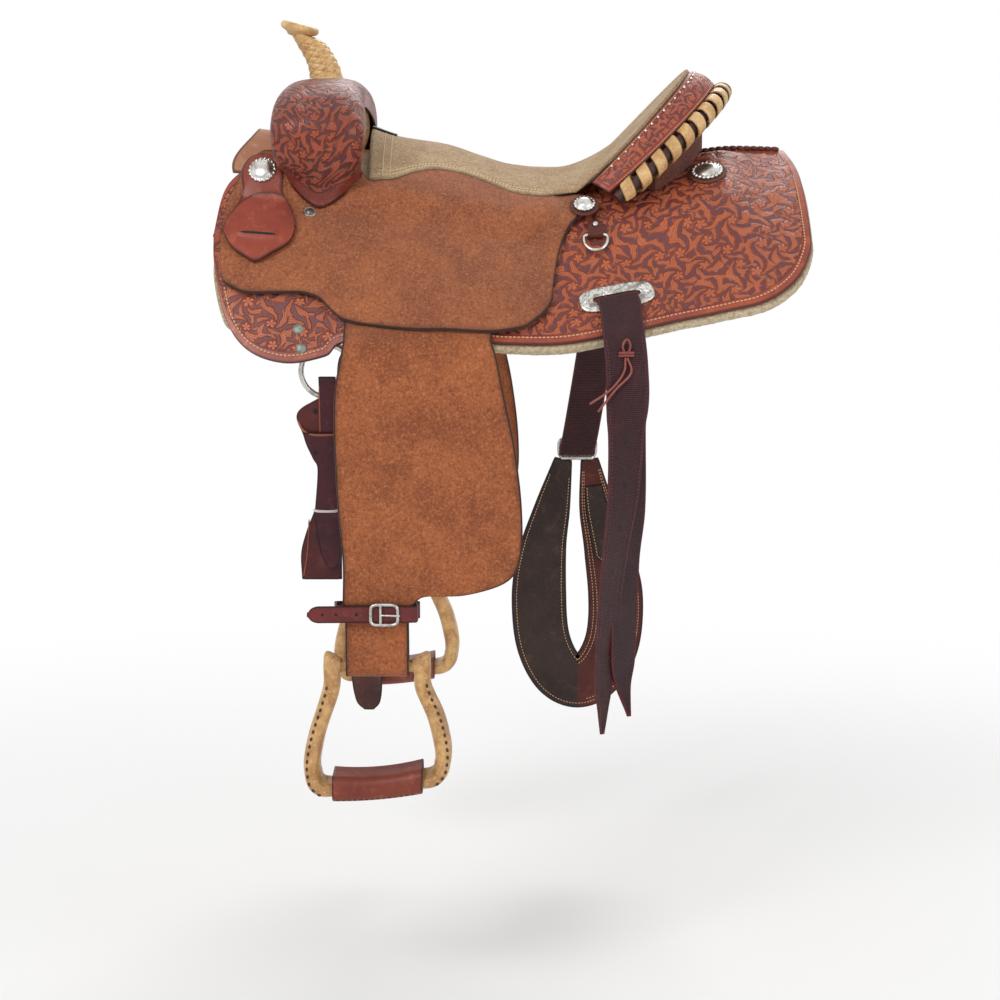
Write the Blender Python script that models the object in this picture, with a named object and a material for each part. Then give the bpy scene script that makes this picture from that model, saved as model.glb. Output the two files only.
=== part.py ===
"""Barrel racing saddle: tree, coverings, skirts, fittings, straps, fenders and stirrups.

X runs from the horn towards the cantle, the near (left) side is at -Y, and +Z is up.
The origin is on the spine line under the rider's seat, where a back or a rack carries the tree.
"""
import math

import bmesh
import bpy
import numpy as np
from mathutils import Matrix, Vector
from mathutils.bvhtree import BVHTree

# Running clearance between pieces that touch
GAP = 0.0004
LAYER = 0.0010
SEAT_GAP = 0.00035
SETTLE_REACH = 0.020
SETTLE_BACK = 0.0002
SETTLE_TRIES = 25
MERGE = 1e-6

# Side surface: the outer face of the skirts, a ridge line with arcs falling away on both sides
SIDE_RADIUS = 0.50
RIDGE_HEIGHT = [(-0.34, 0.135), (-0.25, 0.122), (-0.167, 0.103), (-0.08, 0.083), (0.0, 0.062),
                (0.05, 0.058), (0.12, 0.066), (0.20, 0.081), (0.26, 0.088), (0.33, 0.086)]
RIDGE_SLOPE = [(-0.34, 30.0), (-0.20, 26.0), (0.0, 18.0), (0.20, 21.0), (0.34, 22.0)]

# Leather, wool and wood thicknesses
SKIRT_LEATHER = 0.0045
FLEECE_WOOL = 0.011
JOCKEY_LEATHER = 0.0042
FENDER_LEATHER = 0.0045
LINER_LEATHER = 0.003
COVER_LEATHER = 0.003
NYLON = 0.003
BAR_EDGE = 0.003
BAR_CROWN = 0.0145
BAR_INNER = 0.050
BAR_SPREAD = 0.085
BAR_OUTER = 0.163
BAR_ROUND = 0.040

# Outlines on the side surface, as distance along the saddle and distance down from the ridge
FLEECE_PROUD = 0.004
FLEECE_LOWEST = 0.309
SKIRT_TOP = [(-0.330, 0.205), (-0.322, 0.147), (-0.307, 0.116), (-0.283, 0.094), (-0.256, 0.088),
             (-0.236, 0.120), (-0.205, 0.166), (-0.100, 0.160), (0.020, 0.152), (0.050, 0.146),
             (0.066, 0.115), (0.078, 0.070), (0.096, 0.040), (0.128, 0.028), (0.190, 0.008),
             (0.225, 0.0035), (0.318, 0.0035)]
SKIRT_LOW = [(-0.330, 0.205), (-0.327, 0.245), (-0.312, 0.307), (-0.286, 0.341), (-0.245, 0.352),
             (-0.202, 0.339), (-0.170, 0.318), (-0.011, 0.305), (0.142, 0.285), (0.241, 0.275),
             (0.282, 0.262), (0.314, 0.233), (0.331, 0.195), (0.334, 0.160), (0.330, 0.060),
             (0.318, 0.0035)]
FLEECE_TOP = [(-0.322, 0.212), (-0.313, 0.160), (-0.292, 0.132), (-0.250, 0.124), (-0.190, 0.112),
              (-0.100, 0.050), (0.020, 0.044), (0.120, 0.038), (0.190, 0.018), (0.225, 0.012),
              (0.311, 0.012)]
BAR_TOP = [(-0.276, 0.112), (-0.245, 0.070), (-0.150, 0.046), (0.0, 0.038), (0.120, 0.036),
           (0.200, 0.044), (0.238, 0.080)]
BAR_LOW = [(-0.276, 0.112), (-0.262, 0.142), (-0.215, 0.154), (-0.150, 0.148), (-0.050, 0.130),
           (0.050, 0.126), (0.150, 0.130), (0.210, 0.118), (0.238, 0.080)]
SEAT_EDGE = [(-0.160, 0.121), (-0.135, 0.1165), (-0.113, 0.102), (-0.082, 0.086), (-0.049, 0.084),
             (-0.020, 0.091), (0.010, 0.101), (0.045, 0.101), (0.072, 0.098)]
JOCKEY_FRONT = [(-0.321, 0.205), (-0.314, 0.157), (-0.300, 0.124), (-0.284, 0.104), (-0.268, 0.098),
                (-0.256, 0.106), (-0.244, 0.131), (-0.219, 0.1475), (-0.193, 0.128), (-0.176, 0.104),
                (-0.167, 0.108)]
JOCKEY_REAR = [(0.081, 0.100), (0.092, 0.112)]
JOCKEY_LOW = [(-0.321, 0.205), (-0.318, 0.259), (-0.306, 0.271), (-0.289, 0.277), (-0.258, 0.275),
              (-0.227, 0.272), (-0.209, 0.277), (-0.194, 0.291), (-0.178, 0.300), (-0.138, 0.305),
              (-0.096, 0.307), (-0.034, 0.301), (0.007, 0.289), (0.028, 0.272), (0.043, 0.250),
              (0.047, 0.219), (0.051, 0.190), (0.060, 0.158), (0.072, 0.138), (0.092, 0.112)]

# Where the bars step down off the skirts, and where the skirts pass over the bars
BAR_STEP = -0.205
REAR_LAP = 0.026
REAR_THIN = 0.75
LAP_ROOM = 0.0024

# Fender pocket, where the jockey is lifted over the leather that comes out from under it
POCKET_FRONT = -0.200
POCKET_REAR = -0.004
POCKET_FADE = 0.035

# Fork and horn
FORK_X = -0.214
FORK_ARCH = [(0.0, 0.1435), (0.062, 0.1415), (0.108, 0.127), (0.134, 0.105), (0.1315, 0.081)]
FORK_DEPTH = [0.0195, 0.0215, 0.0270, 0.0270, 0.0180, 0.0110]
FORK_LENGTH = [0.036, 0.041, 0.047, 0.0480, 0.0430, 0.030]
FORK_FOOT_AT = 0.112
FORK_STEPS = 11
FORK_SIDES = 14
FORK_FULLNESS = 0.72
COVER_STOP = 2
COVER_ROOM = 0.0018
FORK_SLIM = 0.0100
FORK_SEAT = 0.0035
COVER_LIP = [(0.0470, 0.152, 0.020, 0.012), (0.0480, 0.1635, 0.050, 0.0005)]
HORN_LINE = [(-0.2130, 0.1705), (-0.2175, 0.187), (-0.2265, 0.204), (-0.2400, 0.2205)]
HORN_NECK = [0.0195, 0.0165, 0.0150, 0.0150]
HORN_STEEL = 0.0080
HORN_CAP_RADIUS = 0.0225
HORN_CAP_EDGE = 0.0105
HORN_CAP_TILT = 14.0
HORN_CAP_SHIFT = (-0.0045, 0.0, 0.0011)

# Gullet liner
LINER_FRONT = -0.322
LINER_CROWN_SET = 0.030
LINER_EDGE_SET = 0.008
LINER_REAR = -0.190
LINER_REACH = 0.104
LINER_CROWN_RADIUS = 0.024

# Seat and cantle
SEAT_CROWN = [(-0.160, 0.112), (-0.128, 0.1015), (-0.073, 0.0925), (-0.035, 0.0800), (0.004, 0.0690),
              (0.035, 0.0665)]
SEAT_PAD = 0.009
SEAT_EDGE_THICKNESS = 0.0040
GROUND_SEAT = 0.0020
SEAT_TURN_X = 0.035
SEAT_HEEL_X = 0.105
CANTLE_END = (0.074, 0.104, 0.043)
CANTLE_TOP = (0.203, 0.0, 0.178)
CANTLE_BOARD = 0.008
BAND_WIDTH = 0.037
BAND_THICKNESS = 0.005
BAND_CROWN = 0.004
BAND_END = 0.93
ROLL_SINK = 0.001
LACE_ROOM = 0.0016
LACE_END = 0.89
RIM_LIFT = 1.06
SEAT_JOIN = 0.0018
BAND_JOIN = SEAT_EDGE_THICKNESS + 0.0006
SEAT_FRONT_X = -0.158
SEAT_CROWN_POWER = 1.9
SEAT_DISH = 0.010
BOARD_END = 0.62
BOARD_SET_BACK = 0.0120
BOARD_DROP = 0.022
BOARD_SLOPE = 0.009
BOARD_LEAST = 0.004
ROLL_RADIUS = 0.0070
LACE_WIDTH = 0.0150
LACE_THICKNESS = 0.0028
LACE_TURNS = 20
LACE_STEPS = 10

# Fender, stirrup leather and hobble strap, seen from the side as distance along and height
HINGE_X = -0.095
FENDER_TOP = -0.1120
FENDER_TUCK = (0.845, 0.534)
FENDER_ROOM = 0.0008
FENDER_HANG = [(0.112, 0.2500), (0.125, 0.2555), (0.150, 0.2615), (0.200, 0.2650), (0.500, 0.2650)]
FENDER_FRONT = [(-0.1810, FENDER_TOP), (-0.1840, -0.130), (-0.1900, -0.165), (-0.1910, -0.210),
                (-0.1880, -0.290), (-0.1830, -0.350), (-0.1835, -0.400)]
FENDER_BACK = [(-0.0215, FENDER_TOP), (-0.0160, -0.130), (-0.0080, -0.170), (0.0030, -0.223),
               (0.0110, -0.290), (0.0100, -0.345), (-0.0050, -0.373), (-0.0500, -0.388),
               (-0.0950, -0.390), (-0.1080, -0.400)]
NECK_X = -0.1470
NECK_HALF = 0.0340
NECK_TOP = -0.4045
STRAP_THICKNESS = 0.0040
INNER_PLY_TOP = -0.335
BOLT_HEIGHT = -0.4700
BOLT_RADIUS = 0.0070
BOLT_Y = 0.2555
HOBBLE_HEIGHT = -0.4080
HOBBLE_HALF = 0.0090
HOBBLE_THICKNESS = 0.0022
HOBBLE_ROUND = [(-0.1500, 0.2692), (-0.1860, 0.2694), (-0.1915, 0.2655), (-0.1920, 0.2540),
                (-0.1860, 0.2472), (-0.1090, 0.2472), (-0.1040, 0.2540), (-0.1040, 0.2670),
                (-0.1090, 0.2722), (-0.1500, 0.2724), (-0.2230, 0.2750)]
HOBBLE_BUCKLE_X = -0.1385
HOBBLE_BUCKLE_OUT = 0.2762
HOBBLE_BUCKLE_LENGTH = 0.034
HOBBLE_BUCKLE_WIDTH = 0.027
HOBBLE_WIRE = 0.0019

# Stirrup, a bell seen square on: half width and height of its inside and outside, and its depth
STIRRUP_X = -0.1475
STIRRUP_LEAN = 5.0
STIRRUP_BELL = [(0.000, -0.4762, 0.000, -0.4638, 0.0124), (0.036, -0.4762, 0.036, -0.4638, 0.0124),
                (0.0405, -0.4775, 0.0405, -0.4610, 0.0165), (0.0412, -0.4800, 0.0560, -0.4545, 0.024),
                (0.0408, -0.4860, 0.0590, -0.4680, 0.026), (0.0420, -0.4960, 0.0590, -0.4880, 0.027),
                (0.0450, -0.5060, 0.0640, -0.5050, 0.029), (0.0560, -0.5350, 0.0750, -0.5350, 0.036),
                (0.0625, -0.5630, 0.0815, -0.5650, 0.042), (0.0640, -0.5760, 0.0810, -0.5850, 0.046),
                (0.0630, -0.5850, 0.0760, -0.6010, 0.047), (0.0580, -0.5945, 0.0610, -0.6110, 0.046),
                (0.0300, -0.5955, 0.0300, -0.6105, 0.044), (0.0000, -0.5955, 0.0000, -0.6105, 0.044)]
BELL_SIDES = 8
TREAD_HALF = 0.0500
TREAD_DEPTH = 0.0248
TREAD_RISE = 0.0089
TREAD_MIDDLE = -0.6030
TREAD_LEATHER = 0.0035

# Fittings on the sides, as distance along and distance down from the ridge
KEEPER_TOP = [(-0.319, 0.206), (-0.309, 0.181), (-0.291, 0.160), (-0.272, 0.155), (-0.253, 0.157),
              (-0.243, 0.175), (-0.238, 0.194)]
KEEPER_LOW = [(-0.319, 0.206), (-0.308, 0.226), (-0.294, 0.236), (-0.280, 0.242), (-0.262, 0.230),
              (-0.244, 0.215), (-0.238, 0.194)]
KEEPER_THICKNESS = 0.0036
KEEPER_LIFT = 0.0030
KEEPER_MIDDLE = (-0.277, 0.190)
FRONT_CONCHO = (-0.277, 0.130)
FRONT_CONCHO_RADIUS = 0.0155
SEAT_CONCHO = (0.082, 0.124)
SEAT_CONCHO_LIFT = 0.0120
SEAT_CONCHO_RADIUS = 0.0120
SEAT_ROSETTE_RADIUS = 0.0170
REAR_CONCHO = (0.2235, 0.078)
REAR_CONCHO_RADIUS = 0.0175
REAR_ROSETTE_RADIUS = 0.0225
CONCHO_PROFILE = [(0.96, 0.0), (1.0, 0.0012), (0.90, 0.0026), (0.72, 0.0048), (0.40, 0.0061),
                  (0.12, 0.0065)]
ROSETTE_THICKNESS = 0.0024
DEE_PLACE = (0.0945, 0.1590)
DEE_OUTLINE = [(-0.0095, 0.0), (0.0095, 0.0), (0.0130, 0.0040), (0.0118, 0.0120), (0.0065, 0.0185),
               (0.0, 0.0200), (-0.0065, 0.0185), (-0.0118, 0.0120), (-0.0130, 0.0040)]
DEE_WIRE = 0.0019
TAB_HALF = 0.0085
TAB_LENGTH = 0.0185
TAB_THICKNESS = 0.0022
PLATE_PLACE = (0.1160, 0.2420)
PLATE_HALF_LENGTH = 0.0420
PLATE_HALF_HEIGHT = 0.0165
PLATE_TURN = 12.0
PLATE_THICKNESS = 0.0020
PLATE_SLOT_HALF = 0.0265
PLATE_SLOT_HEIGHT = 0.0076

# Rear billets: distance along, distance out from the middle and height of their middle lines
BILLET_HALF = 0.0225
BILLET_STEPS = 26
BILLET_MOUTH = [(0.0, 0.0008), (0.0030, 0.0023), (0.0085, 0.0022), (0.0180, 0.0025)]
BILLET_NEAR = [(0.1215, 0.2360, -0.0990),
               (0.1235, 0.2440, -0.1150), (0.1255, 0.2500, -0.1400), (0.1275, 0.2530, -0.1900),
               (0.1280, 0.2540, -0.3000), (0.1290, 0.2540, -0.4200), (0.1200, 0.2540, -0.5150),
               (0.1180, 0.2540, -0.5450)]
BILLET_OFF = [(0.1200, 0.2360, -0.0990),
              (0.1180, 0.2430, -0.1150), (0.1150, 0.2470, -0.1400), (0.1080, 0.2480, -0.1900),
              (0.0950, 0.2460, -0.2700), (0.0880, 0.2450, -0.3080), (0.0870, 0.2450, -0.3150)]
BILLET_LIFT = 0.0018

# Front rigging rings and what hangs from them
RING_PLACE = (-0.2010, 0.2120, -0.1450)
RING_RADIUS = 0.0285
RING_WIRE = 0.0030
STRAP_LOOP = 0.0074
LATIGO_LINE = [(-0.2040, -0.1960), (-0.2110, -0.2350), (-0.2125, -0.3050), (-0.2110, -0.3760)]
OFF_BILLET_LINE = [(-0.2010, -0.1960), (-0.1990, -0.2800), (-0.1920, -0.4500), (-0.1825, -0.6450)]
LATIGO_HALF = 0.0200
LOOP_HALF = 0.0085
LATIGO_THICKNESS = 0.0040

# Flank cinch on the off rear billet, hanging doubled
CINCH_Y = 0.2511
CINCH_LINE = [(0.0700, -0.3210), (0.0560, -0.3850), (0.0440, -0.4400), (0.0390, -0.5000),
              (0.0440, -0.5600), (0.0630, -0.6020), (0.0900, -0.6170), (0.1170, -0.6020),
              (0.1360, -0.5600), (0.1390, -0.5000), (0.1280, -0.4400), (0.1140, -0.3850),
              (0.1040, -0.3210)]
CINCH_HALF = [(0.0, 0.0110), (0.12, 0.0240), (0.30, 0.0350), (0.70, 0.0350), (0.88, 0.0240),
              (1.0, 0.0110)]
CINCH_THICKNESS = 0.0050
CINCH_HINGE = -0.3189
CINCH_BUCKLE = (0.0880, -0.3060)
CINCH_BUCKLE_HALF = (0.0240, 0.0130)
CINCH_WIRE = 0.0024

NEAR = -1.0
OFF = 1.0
SIDES = (("near", NEAR), ("off", OFF))

# Colour, roughness and metallic value of each material
FINISHES = {
    "tooled_leather": ((0.36, 0.085, 0.035), 0.42, 0.0),
    "roughout": ((0.40, 0.13, 0.045), 0.85, 0.0),
    "suede": ((0.55, 0.40, 0.22), 0.9, 0.0),
    "rawhide": ((0.78, 0.55, 0.27), 0.5, 0.0),
    "liner_leather": ((0.50, 0.25, 0.13), 0.6, 0.0),
    "strap_leather": ((0.13, 0.022, 0.022), 0.45, 0.0),
    "dark_leather": ((0.06, 0.025, 0.018), 0.5, 0.0),
    "fleece": ((0.80, 0.70, 0.50), 1.0, 0.0),
    "nylon": ((0.075, 0.022, 0.030), 0.6, 0.0),
    "silver": ((0.72, 0.71, 0.68), 0.25, 1.0),
    "nickel": ((0.60, 0.60, 0.58), 0.22, 1.0),
    "steel": ((0.35, 0.35, 0.36), 0.35, 1.0),
    "wood": ((0.52, 0.34, 0.17), 0.6, 0.0),
}


def clear_objects():
    """Empty the scene."""
    for item in list(bpy.data.objects):
        bpy.data.objects.remove(item, do_unlink=True)


def finish(name):
    """The Principled material of that name, made once."""
    material = bpy.data.materials.get(name)
    if material is None:
        colour, roughness, metallic = FINISHES[name]
        material = bpy.data.materials.new(name)
        material.use_nodes = True
        shader = material.node_tree.nodes["Principled BSDF"]
        shader.inputs["Base Color"].default_value = (*colour, 1.0)
        shader.inputs["Roughness"].default_value = roughness
        shader.inputs["Metallic"].default_value = metallic
    return material


def smooth_value(x, knots):
    """A smooth curve through the knots, without overshoot: a Hermite cubic with harmonic slopes."""
    table = np.array(knots, float)
    places, values = table[:, 0], table[:, 1]
    rise = np.diff(values) / np.diff(places)
    slope = np.zeros(len(places))
    slope[0], slope[-1] = rise[0], rise[-1]
    for i in range(1, len(places) - 1):
        if rise[i - 1] * rise[i] > 0:
            slope[i] = 2 * rise[i - 1] * rise[i] / (rise[i - 1] + rise[i])
    x = np.clip(np.asarray(x, float), places[0], places[-1])
    i = np.clip(np.searchsorted(places, x) - 1, 0, len(places) - 2)
    width = places[i + 1] - places[i]
    t = (x - places[i]) / width
    start = values[i] * (2 * t**3 - 3 * t**2 + 1) + slope[i] * width * (t**3 - 2 * t**2 + t)
    end = values[i + 1] * (3 * t**2 - 2 * t**3) + slope[i + 1] * width * (t**3 - t**2)
    return start + end


def ease(t):
    """Rises smoothly from 0 to 1 while t does."""
    t = np.clip(t, 0.0, 1.0)
    return t * t * (3 - 2 * t)


def spline(points, count):
    """Points at even steps along a Catmull-Rom curve through the given points."""
    p = np.array(points, float)
    ends = np.vstack([2 * p[0] - p[1], p, 2 * p[-1] - p[-2]])
    fine = []
    t = np.linspace(0, 1, 12, endpoint=False)[:, None]
    for i in range(1, len(ends) - 2):
        a, b, c, d = ends[i - 1], ends[i], ends[i + 1], ends[i + 2]
        fine.append(0.5 * (2 * b + (c - a) * t + (2 * a - 5 * b + 4 * c - d) * t**2
                           + (3 * b - a - 3 * c + d) * t**3))
    fine = np.vstack(fine + [p[-1:]])
    along = np.concatenate([[0], np.cumsum(np.linalg.norm(np.diff(fine, axis=0), axis=1))])
    steps = np.linspace(0, along[-1], count)
    return np.stack([np.interp(steps, along, fine[:, k]) for k in range(p.shape[1])], axis=1)


def on_side(x, s, lift, side):
    """A point at x along, s down the side from the ridge and lift out of the skirt's face."""
    x, s, lift = np.broadcast_arrays(np.asarray(x, float), np.asarray(s, float),
                                     np.asarray(lift, float))
    first = np.radians(smooth_value(x, RIDGE_SLOPE))
    angle = first + s / SIDE_RADIUS
    out = SIDE_RADIUS * (np.sin(angle) - np.sin(first)) + lift * np.sin(angle)
    drop = SIDE_RADIUS * (np.cos(first) - np.cos(angle))
    up = smooth_value(x, RIDGE_HEIGHT) - drop + lift * np.cos(angle)
    return np.stack([x, side * out, up], axis=-1)


def side_axes(x, s, side):
    """Directions at a place on the side: along, down the side, and out of it."""
    step = 0.001
    here = on_side(x, s, 0.0, side)
    along = on_side(x + step, s, 0.0, side) - on_side(x - step, s, 0.0, side)
    along /= np.linalg.norm(along)
    down = on_side(x, s + step, 0.0, side) - here
    down -= along * float(down @ along)
    down /= np.linalg.norm(down)
    out = on_side(x, s, step, side) - here
    out -= along * float(out @ along)
    out -= down * float(out @ down)
    return along, down, out / np.linalg.norm(out)


def build(name, points, faces, material):
    """An object from points and faces, closed, with its faces turned outwards."""
    mesh = bpy.data.meshes.new(name)
    mesh.from_pydata([tuple(map(float, p)) for p in points], [], faces)
    cage = bmesh.new()
    cage.from_mesh(mesh)
    bmesh.ops.remove_doubles(cage, verts=cage.verts, dist=MERGE)
    bmesh.ops.recalc_face_normals(cage, faces=cage.faces)
    cage.to_mesh(mesh)
    cage.free()
    mesh.materials.append(finish(material))
    mesh.shade_smooth()
    mesh.set_sharp_from_angle(angle=math.radians(38))
    item = bpy.data.objects.new(name, mesh)
    bpy.context.scene.collection.objects.link(item)
    return item


def leaf(name, outer, inner, material):
    """A closed sheet between two grids of points, with a wall along the grid's four edges."""
    rows, columns = outer.shape[:2]
    points = np.concatenate([outer.reshape(-1, 3), inner.reshape(-1, 3)])
    back = rows * columns
    faces = []
    for i in range(rows - 1):
        for j in range(columns - 1):
            a = i * columns + j
            quad = (a, a + 1, a + columns + 1, a + columns)
            faces.append(quad)
            faces.append(tuple(v + back for v in reversed(quad)))
    border = [j for j in range(columns)]
    border += [i * columns + columns - 1 for i in range(1, rows)]
    border += [(rows - 1) * columns + j for j in range(columns - 2, -1, -1)]
    border += [i * columns for i in range(rows - 2, 0, -1)]
    for k, v in enumerate(border):
        w = border[(k + 1) % len(border)]
        faces.append((w, v, v + back, w + back))
    return build(name, points, faces, material)


def loft(name, rings, material, closed=False):
    """A solid through a row of rings, capped at its ends, or joined into a hoop."""
    rings = np.asarray(rings, float)
    count, size = rings.shape[:2]
    faces = []
    for i in range(count if closed else count - 1):
        for j in range(size):
            a, b = i * size + j, i * size + (j + 1) % size
            c, d = (b + size) % (count * size), (a + size) % (count * size)
            faces.append((a, b, c, d))
    if not closed:
        faces.append(tuple(reversed(range(size))))
        faces.append(tuple(range((count - 1) * size, count * size)))
    return build(name, rings.reshape(-1, 3), faces, material)


def round_section(count, power=1.0):
    """Unit points round a circle, or round a fuller outline where the power is under 1."""
    turn = np.linspace(0, 2 * math.pi, count, endpoint=False) + math.pi / count
    c, s = np.cos(turn), np.sin(turn)
    return np.sign(c) * np.abs(c) ** power, np.sign(s) * np.abs(s) ** power


def wire(name, path, radius, material, sides=8, closed=True):
    """A round wire along a flat path of points."""
    path = np.asarray(path, float)
    if closed:
        tangent = np.roll(path, -1, axis=0) - np.roll(path, 1, axis=0)
    else:
        tangent = np.gradient(path, axis=0)
    tangent /= np.linalg.norm(tangent, axis=1, keepdims=True)
    flat = np.cross(path[1] - path[0], path[len(path) // 2] - path[0])
    flat /= np.linalg.norm(flat)
    inward = np.cross(flat, tangent)
    c, s = round_section(sides)
    rings = (path[:, None, :] + radius * c[None, :, None] * inward[:, None, :]
             + radius * s[None, :, None] * flat[None, None, :])
    return loft(name, rings, material, closed)


def turned(name, centre, axes, profile, material, sides=16):
    """A profile of radius and height turned about the out direction at a place."""
    along, down, out = axes
    turn = np.linspace(0, 2 * math.pi, sides, endpoint=False)
    ring = np.cos(turn)[:, None] * along + np.sin(turn)[:, None] * down
    rings = [centre + radius * ring + height * out for radius, height in profile]
    return loft(name, rings, material)


def solid_tree(item):
    """A search tree of an object's faces, and its points."""
    item.data.calc_loop_triangles()
    points = [item.matrix_world @ v.co for v in item.data.vertices]
    faces = [tuple(f.vertices) for f in item.data.loop_triangles]
    return BVHTree.FromPolygons(points, faces), points


def settle(items, carriers, direction, room=SEAT_GAP):
    """Slide pieces along a direction until they stand just clear of what carries them."""
    step = Vector(tuple(map(float, direction))).normalized()
    free = SETTLE_REACH
    for item in items:
        own, points = solid_tree(item)
        for carrier in carriers:
            ground, spots = solid_tree(bpy.data.objects[carrier])
            hits = [ground.ray_cast(p, step, SETTLE_REACH)[3] for p in points]
            hits += [own.ray_cast(p, -step, SETTLE_REACH)[3] for p in spots]
            free = min([free] + [h for h in hits if h is not None])
    shift = step * (free - room)
    for item in items:
        item.data.transform(Matrix.Translation(shift))
    back = -step * SETTLE_BACK
    for _ in range(SETTLE_TRIES):
        trees = [solid_tree(item)[0] for item in items]
        if not any(tree.overlap(solid_tree(bpy.data.objects[c])[0]) for tree in trees for c in carriers):
            break
        for item in items:
            item.data.transform(Matrix.Translation(back))
        shift += back
    return np.array(shift)


def pivot(name, place):
    """An empty on a joint's axis, which carries the pieces that turn about it."""
    item = bpy.data.objects.new(name, None)
    item.location = tuple(map(float, place))
    bpy.context.scene.collection.objects.link(item)
    return item


def hang(items, carrier):
    """Parent pieces to a pivot with their points measured from it."""
    shift = Matrix.Translation(-Vector(carrier.location))
    for item in items:
        item.data.transform(shift)
        item.parent = carrier


def bar_face(x, s):
    """How far the tree bar's upper face stands out of the skirt."""
    swell = ease((s - BAR_INNER) / BAR_SPREAD) * ease((BAR_OUTER - s) / BAR_ROUND)
    return LAYER + BAR_EDGE + BAR_CROWN * swell * (1 - REAR_THIN * ease((x - 0.020) / 0.060))


def bar_under(x, s):
    """The bar rests on the fleece where the skirt is cut away, and on the skirt in front."""
    return LAYER * 0.5 - (SKIRT_LEATHER + LAYER * 0.5) * ease((x - BAR_STEP) / 0.020)


def skirt_rise(x, s):
    """How far the skirt's grain side stands up where it passes over the bar behind the seat."""
    over = ease((x - REAR_LAP) / 0.022) * ease((0.285 - x) / 0.045)
    ridge = ease((s - 0.004) / 0.028) * ease((0.205 - s) / 0.060)
    return (bar_face(x, s) + LAYER + LAP_ROOM + SKIRT_LEATHER) * over * ridge


def jockey_under(x, s):
    """How far the jockey's flesh side stands out of the skirt: over the bar, then over the fender."""
    pocket = ease((x - POCKET_FRONT) / POCKET_FADE + 1) * ease((POCKET_REAR - x) / POCKET_FADE + 1)
    low = LAYER + (FENDER_LEATHER + LAYER) * pocket
    high = 3 * LAYER + BAR_EDGE + BAR_CROWN
    front = ease((x + 0.325) / 0.050)
    flat = low + (high - low) * ease((0.172 - s) / 0.045) * front
    return np.maximum(flat, skirt_rise(x, s) + LAYER + LAP_ROOM)


def seat_lift(x, s):
    """How far the jockey's outer face stands out of the skirt."""
    return jockey_under(x, s) + JOCKEY_LEATHER


def side_panel(name, side, top, low, columns, rows, outer, inner, material):
    """A closed sheet on the side between a top line and a low line that share their ends."""
    upper, lower = spline(top, columns), spline(low, columns)
    down = np.linspace(0, 1, rows)[:, None, None]
    place = upper[None] * (1 - down) + lower[None] * down
    x, s = place[..., 0], place[..., 1]
    return leaf(name, on_side(x, s, outer(x, s), side), on_side(x, s, inner(x, s), side), material)


def make_sides():
    """Fleeces, skirts, tree bars and seat jockeys of both sides."""
    grown = [(x * (1 + FLEECE_PROUD), min(s + FLEECE_PROUD, FLEECE_LOWEST)) for x, s in SKIRT_LOW[1:-1]]
    fleece_low = [FLEECE_TOP[0]] + grown + [FLEECE_TOP[-1]]
    joint = np.linspace(SEAT_EDGE[0][0], SEAT_EDGE[-1][0], 16)
    jockey_top = JOCKEY_FRONT + list(zip(joint, smooth_value(joint, SEAT_EDGE))) + JOCKEY_REAR
    for word, side in SIDES:
        side_panel(f"fleece_{word}", side, FLEECE_TOP, fleece_low, 26, 8,
                   lambda x, s: 0 * s - SKIRT_LEATHER - LAYER,
                   lambda x, s: 0 * s - SKIRT_LEATHER - LAYER - FLEECE_WOOL, "fleece")
        side_panel(f"skirt_{word}", side, SKIRT_TOP, SKIRT_LOW, 40, 10,
                   skirt_rise, lambda x, s: skirt_rise(x, s) - SKIRT_LEATHER, "tooled_leather")
        side_panel(f"tree_bar_{word}", side, BAR_TOP, BAR_LOW, 18, 7,
                   bar_face, bar_under, "wood")
        side_panel(f"seat_jockey_{word}", side, jockey_top, JOCKEY_LOW, 38, 9,
                   seat_lift, jockey_under, "roughout")


def fork_rings(spread, slim=0.0):
    """Rings of the fork's arch from the near foot to the off foot, wider all round by spread."""
    along, down, out = side_axes(FORK_X, FORK_FOOT_AT, OFF)
    foot = on_side(FORK_X, FORK_FOOT_AT, bar_face(FORK_X, FORK_FOOT_AT) + FORK_SEAT, OFF)
    half = [*FORK_ARCH, (float(foot[1]), float(foot[2]))]
    steps = spline([(y, z, d, n) for (y, z), d, n in zip(half, FORK_DEPTH, FORK_LENGTH)], FORK_STEPS)
    heading = np.gradient(steps[:, :2], axis=0)
    heading[0] = (1.0, 0.0)
    heading[-1] = (-out[1], -out[2])
    heading /= np.linalg.norm(heading, axis=1, keepdims=True)
    c, s = round_section(FORK_SIDES, FORK_FULLNESS)
    steps[:, 3] -= slim * np.linspace(0, 1, FORK_STEPS) ** 3
    rings = []
    for (y, z, depth, length), (hy, hz) in zip(steps, heading):
        lift = (depth + spread) * s
        rings.append(np.stack([FORK_X + (length + spread) * c, y - hz * lift, z + hy * lift], axis=1))
    mirror = [ring * (1, -1, 1) for ring in rings[:0:-1]]
    return np.array(mirror + rings)


def fork_cover_rows(spread, lift):
    """Rows of the fork cover from the off lip on the jockey over the arch to the near lip."""
    kept = [k % FORK_SIDES for k in range(-1, FORK_SIDES // 2 + 1)]
    arch = fork_rings(spread)[COVER_STOP:-COVER_STOP, kept]
    c = round_section(FORK_SIDES, FORK_FULLNESS)[0][kept]
    lips = []
    for half, reach, bow, stand in COVER_LIP:
        x = FORK_X + half * c
        s = reach - bow * c**2
        lips.append(on_side(x, s, seat_lift(x, s) + LAYER + stand + lift, OFF))
    off = np.array(lips)
    near = off[::-1] * (1, -1, 1)
    return np.concatenate([near, arch, off])[::-1]


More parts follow.
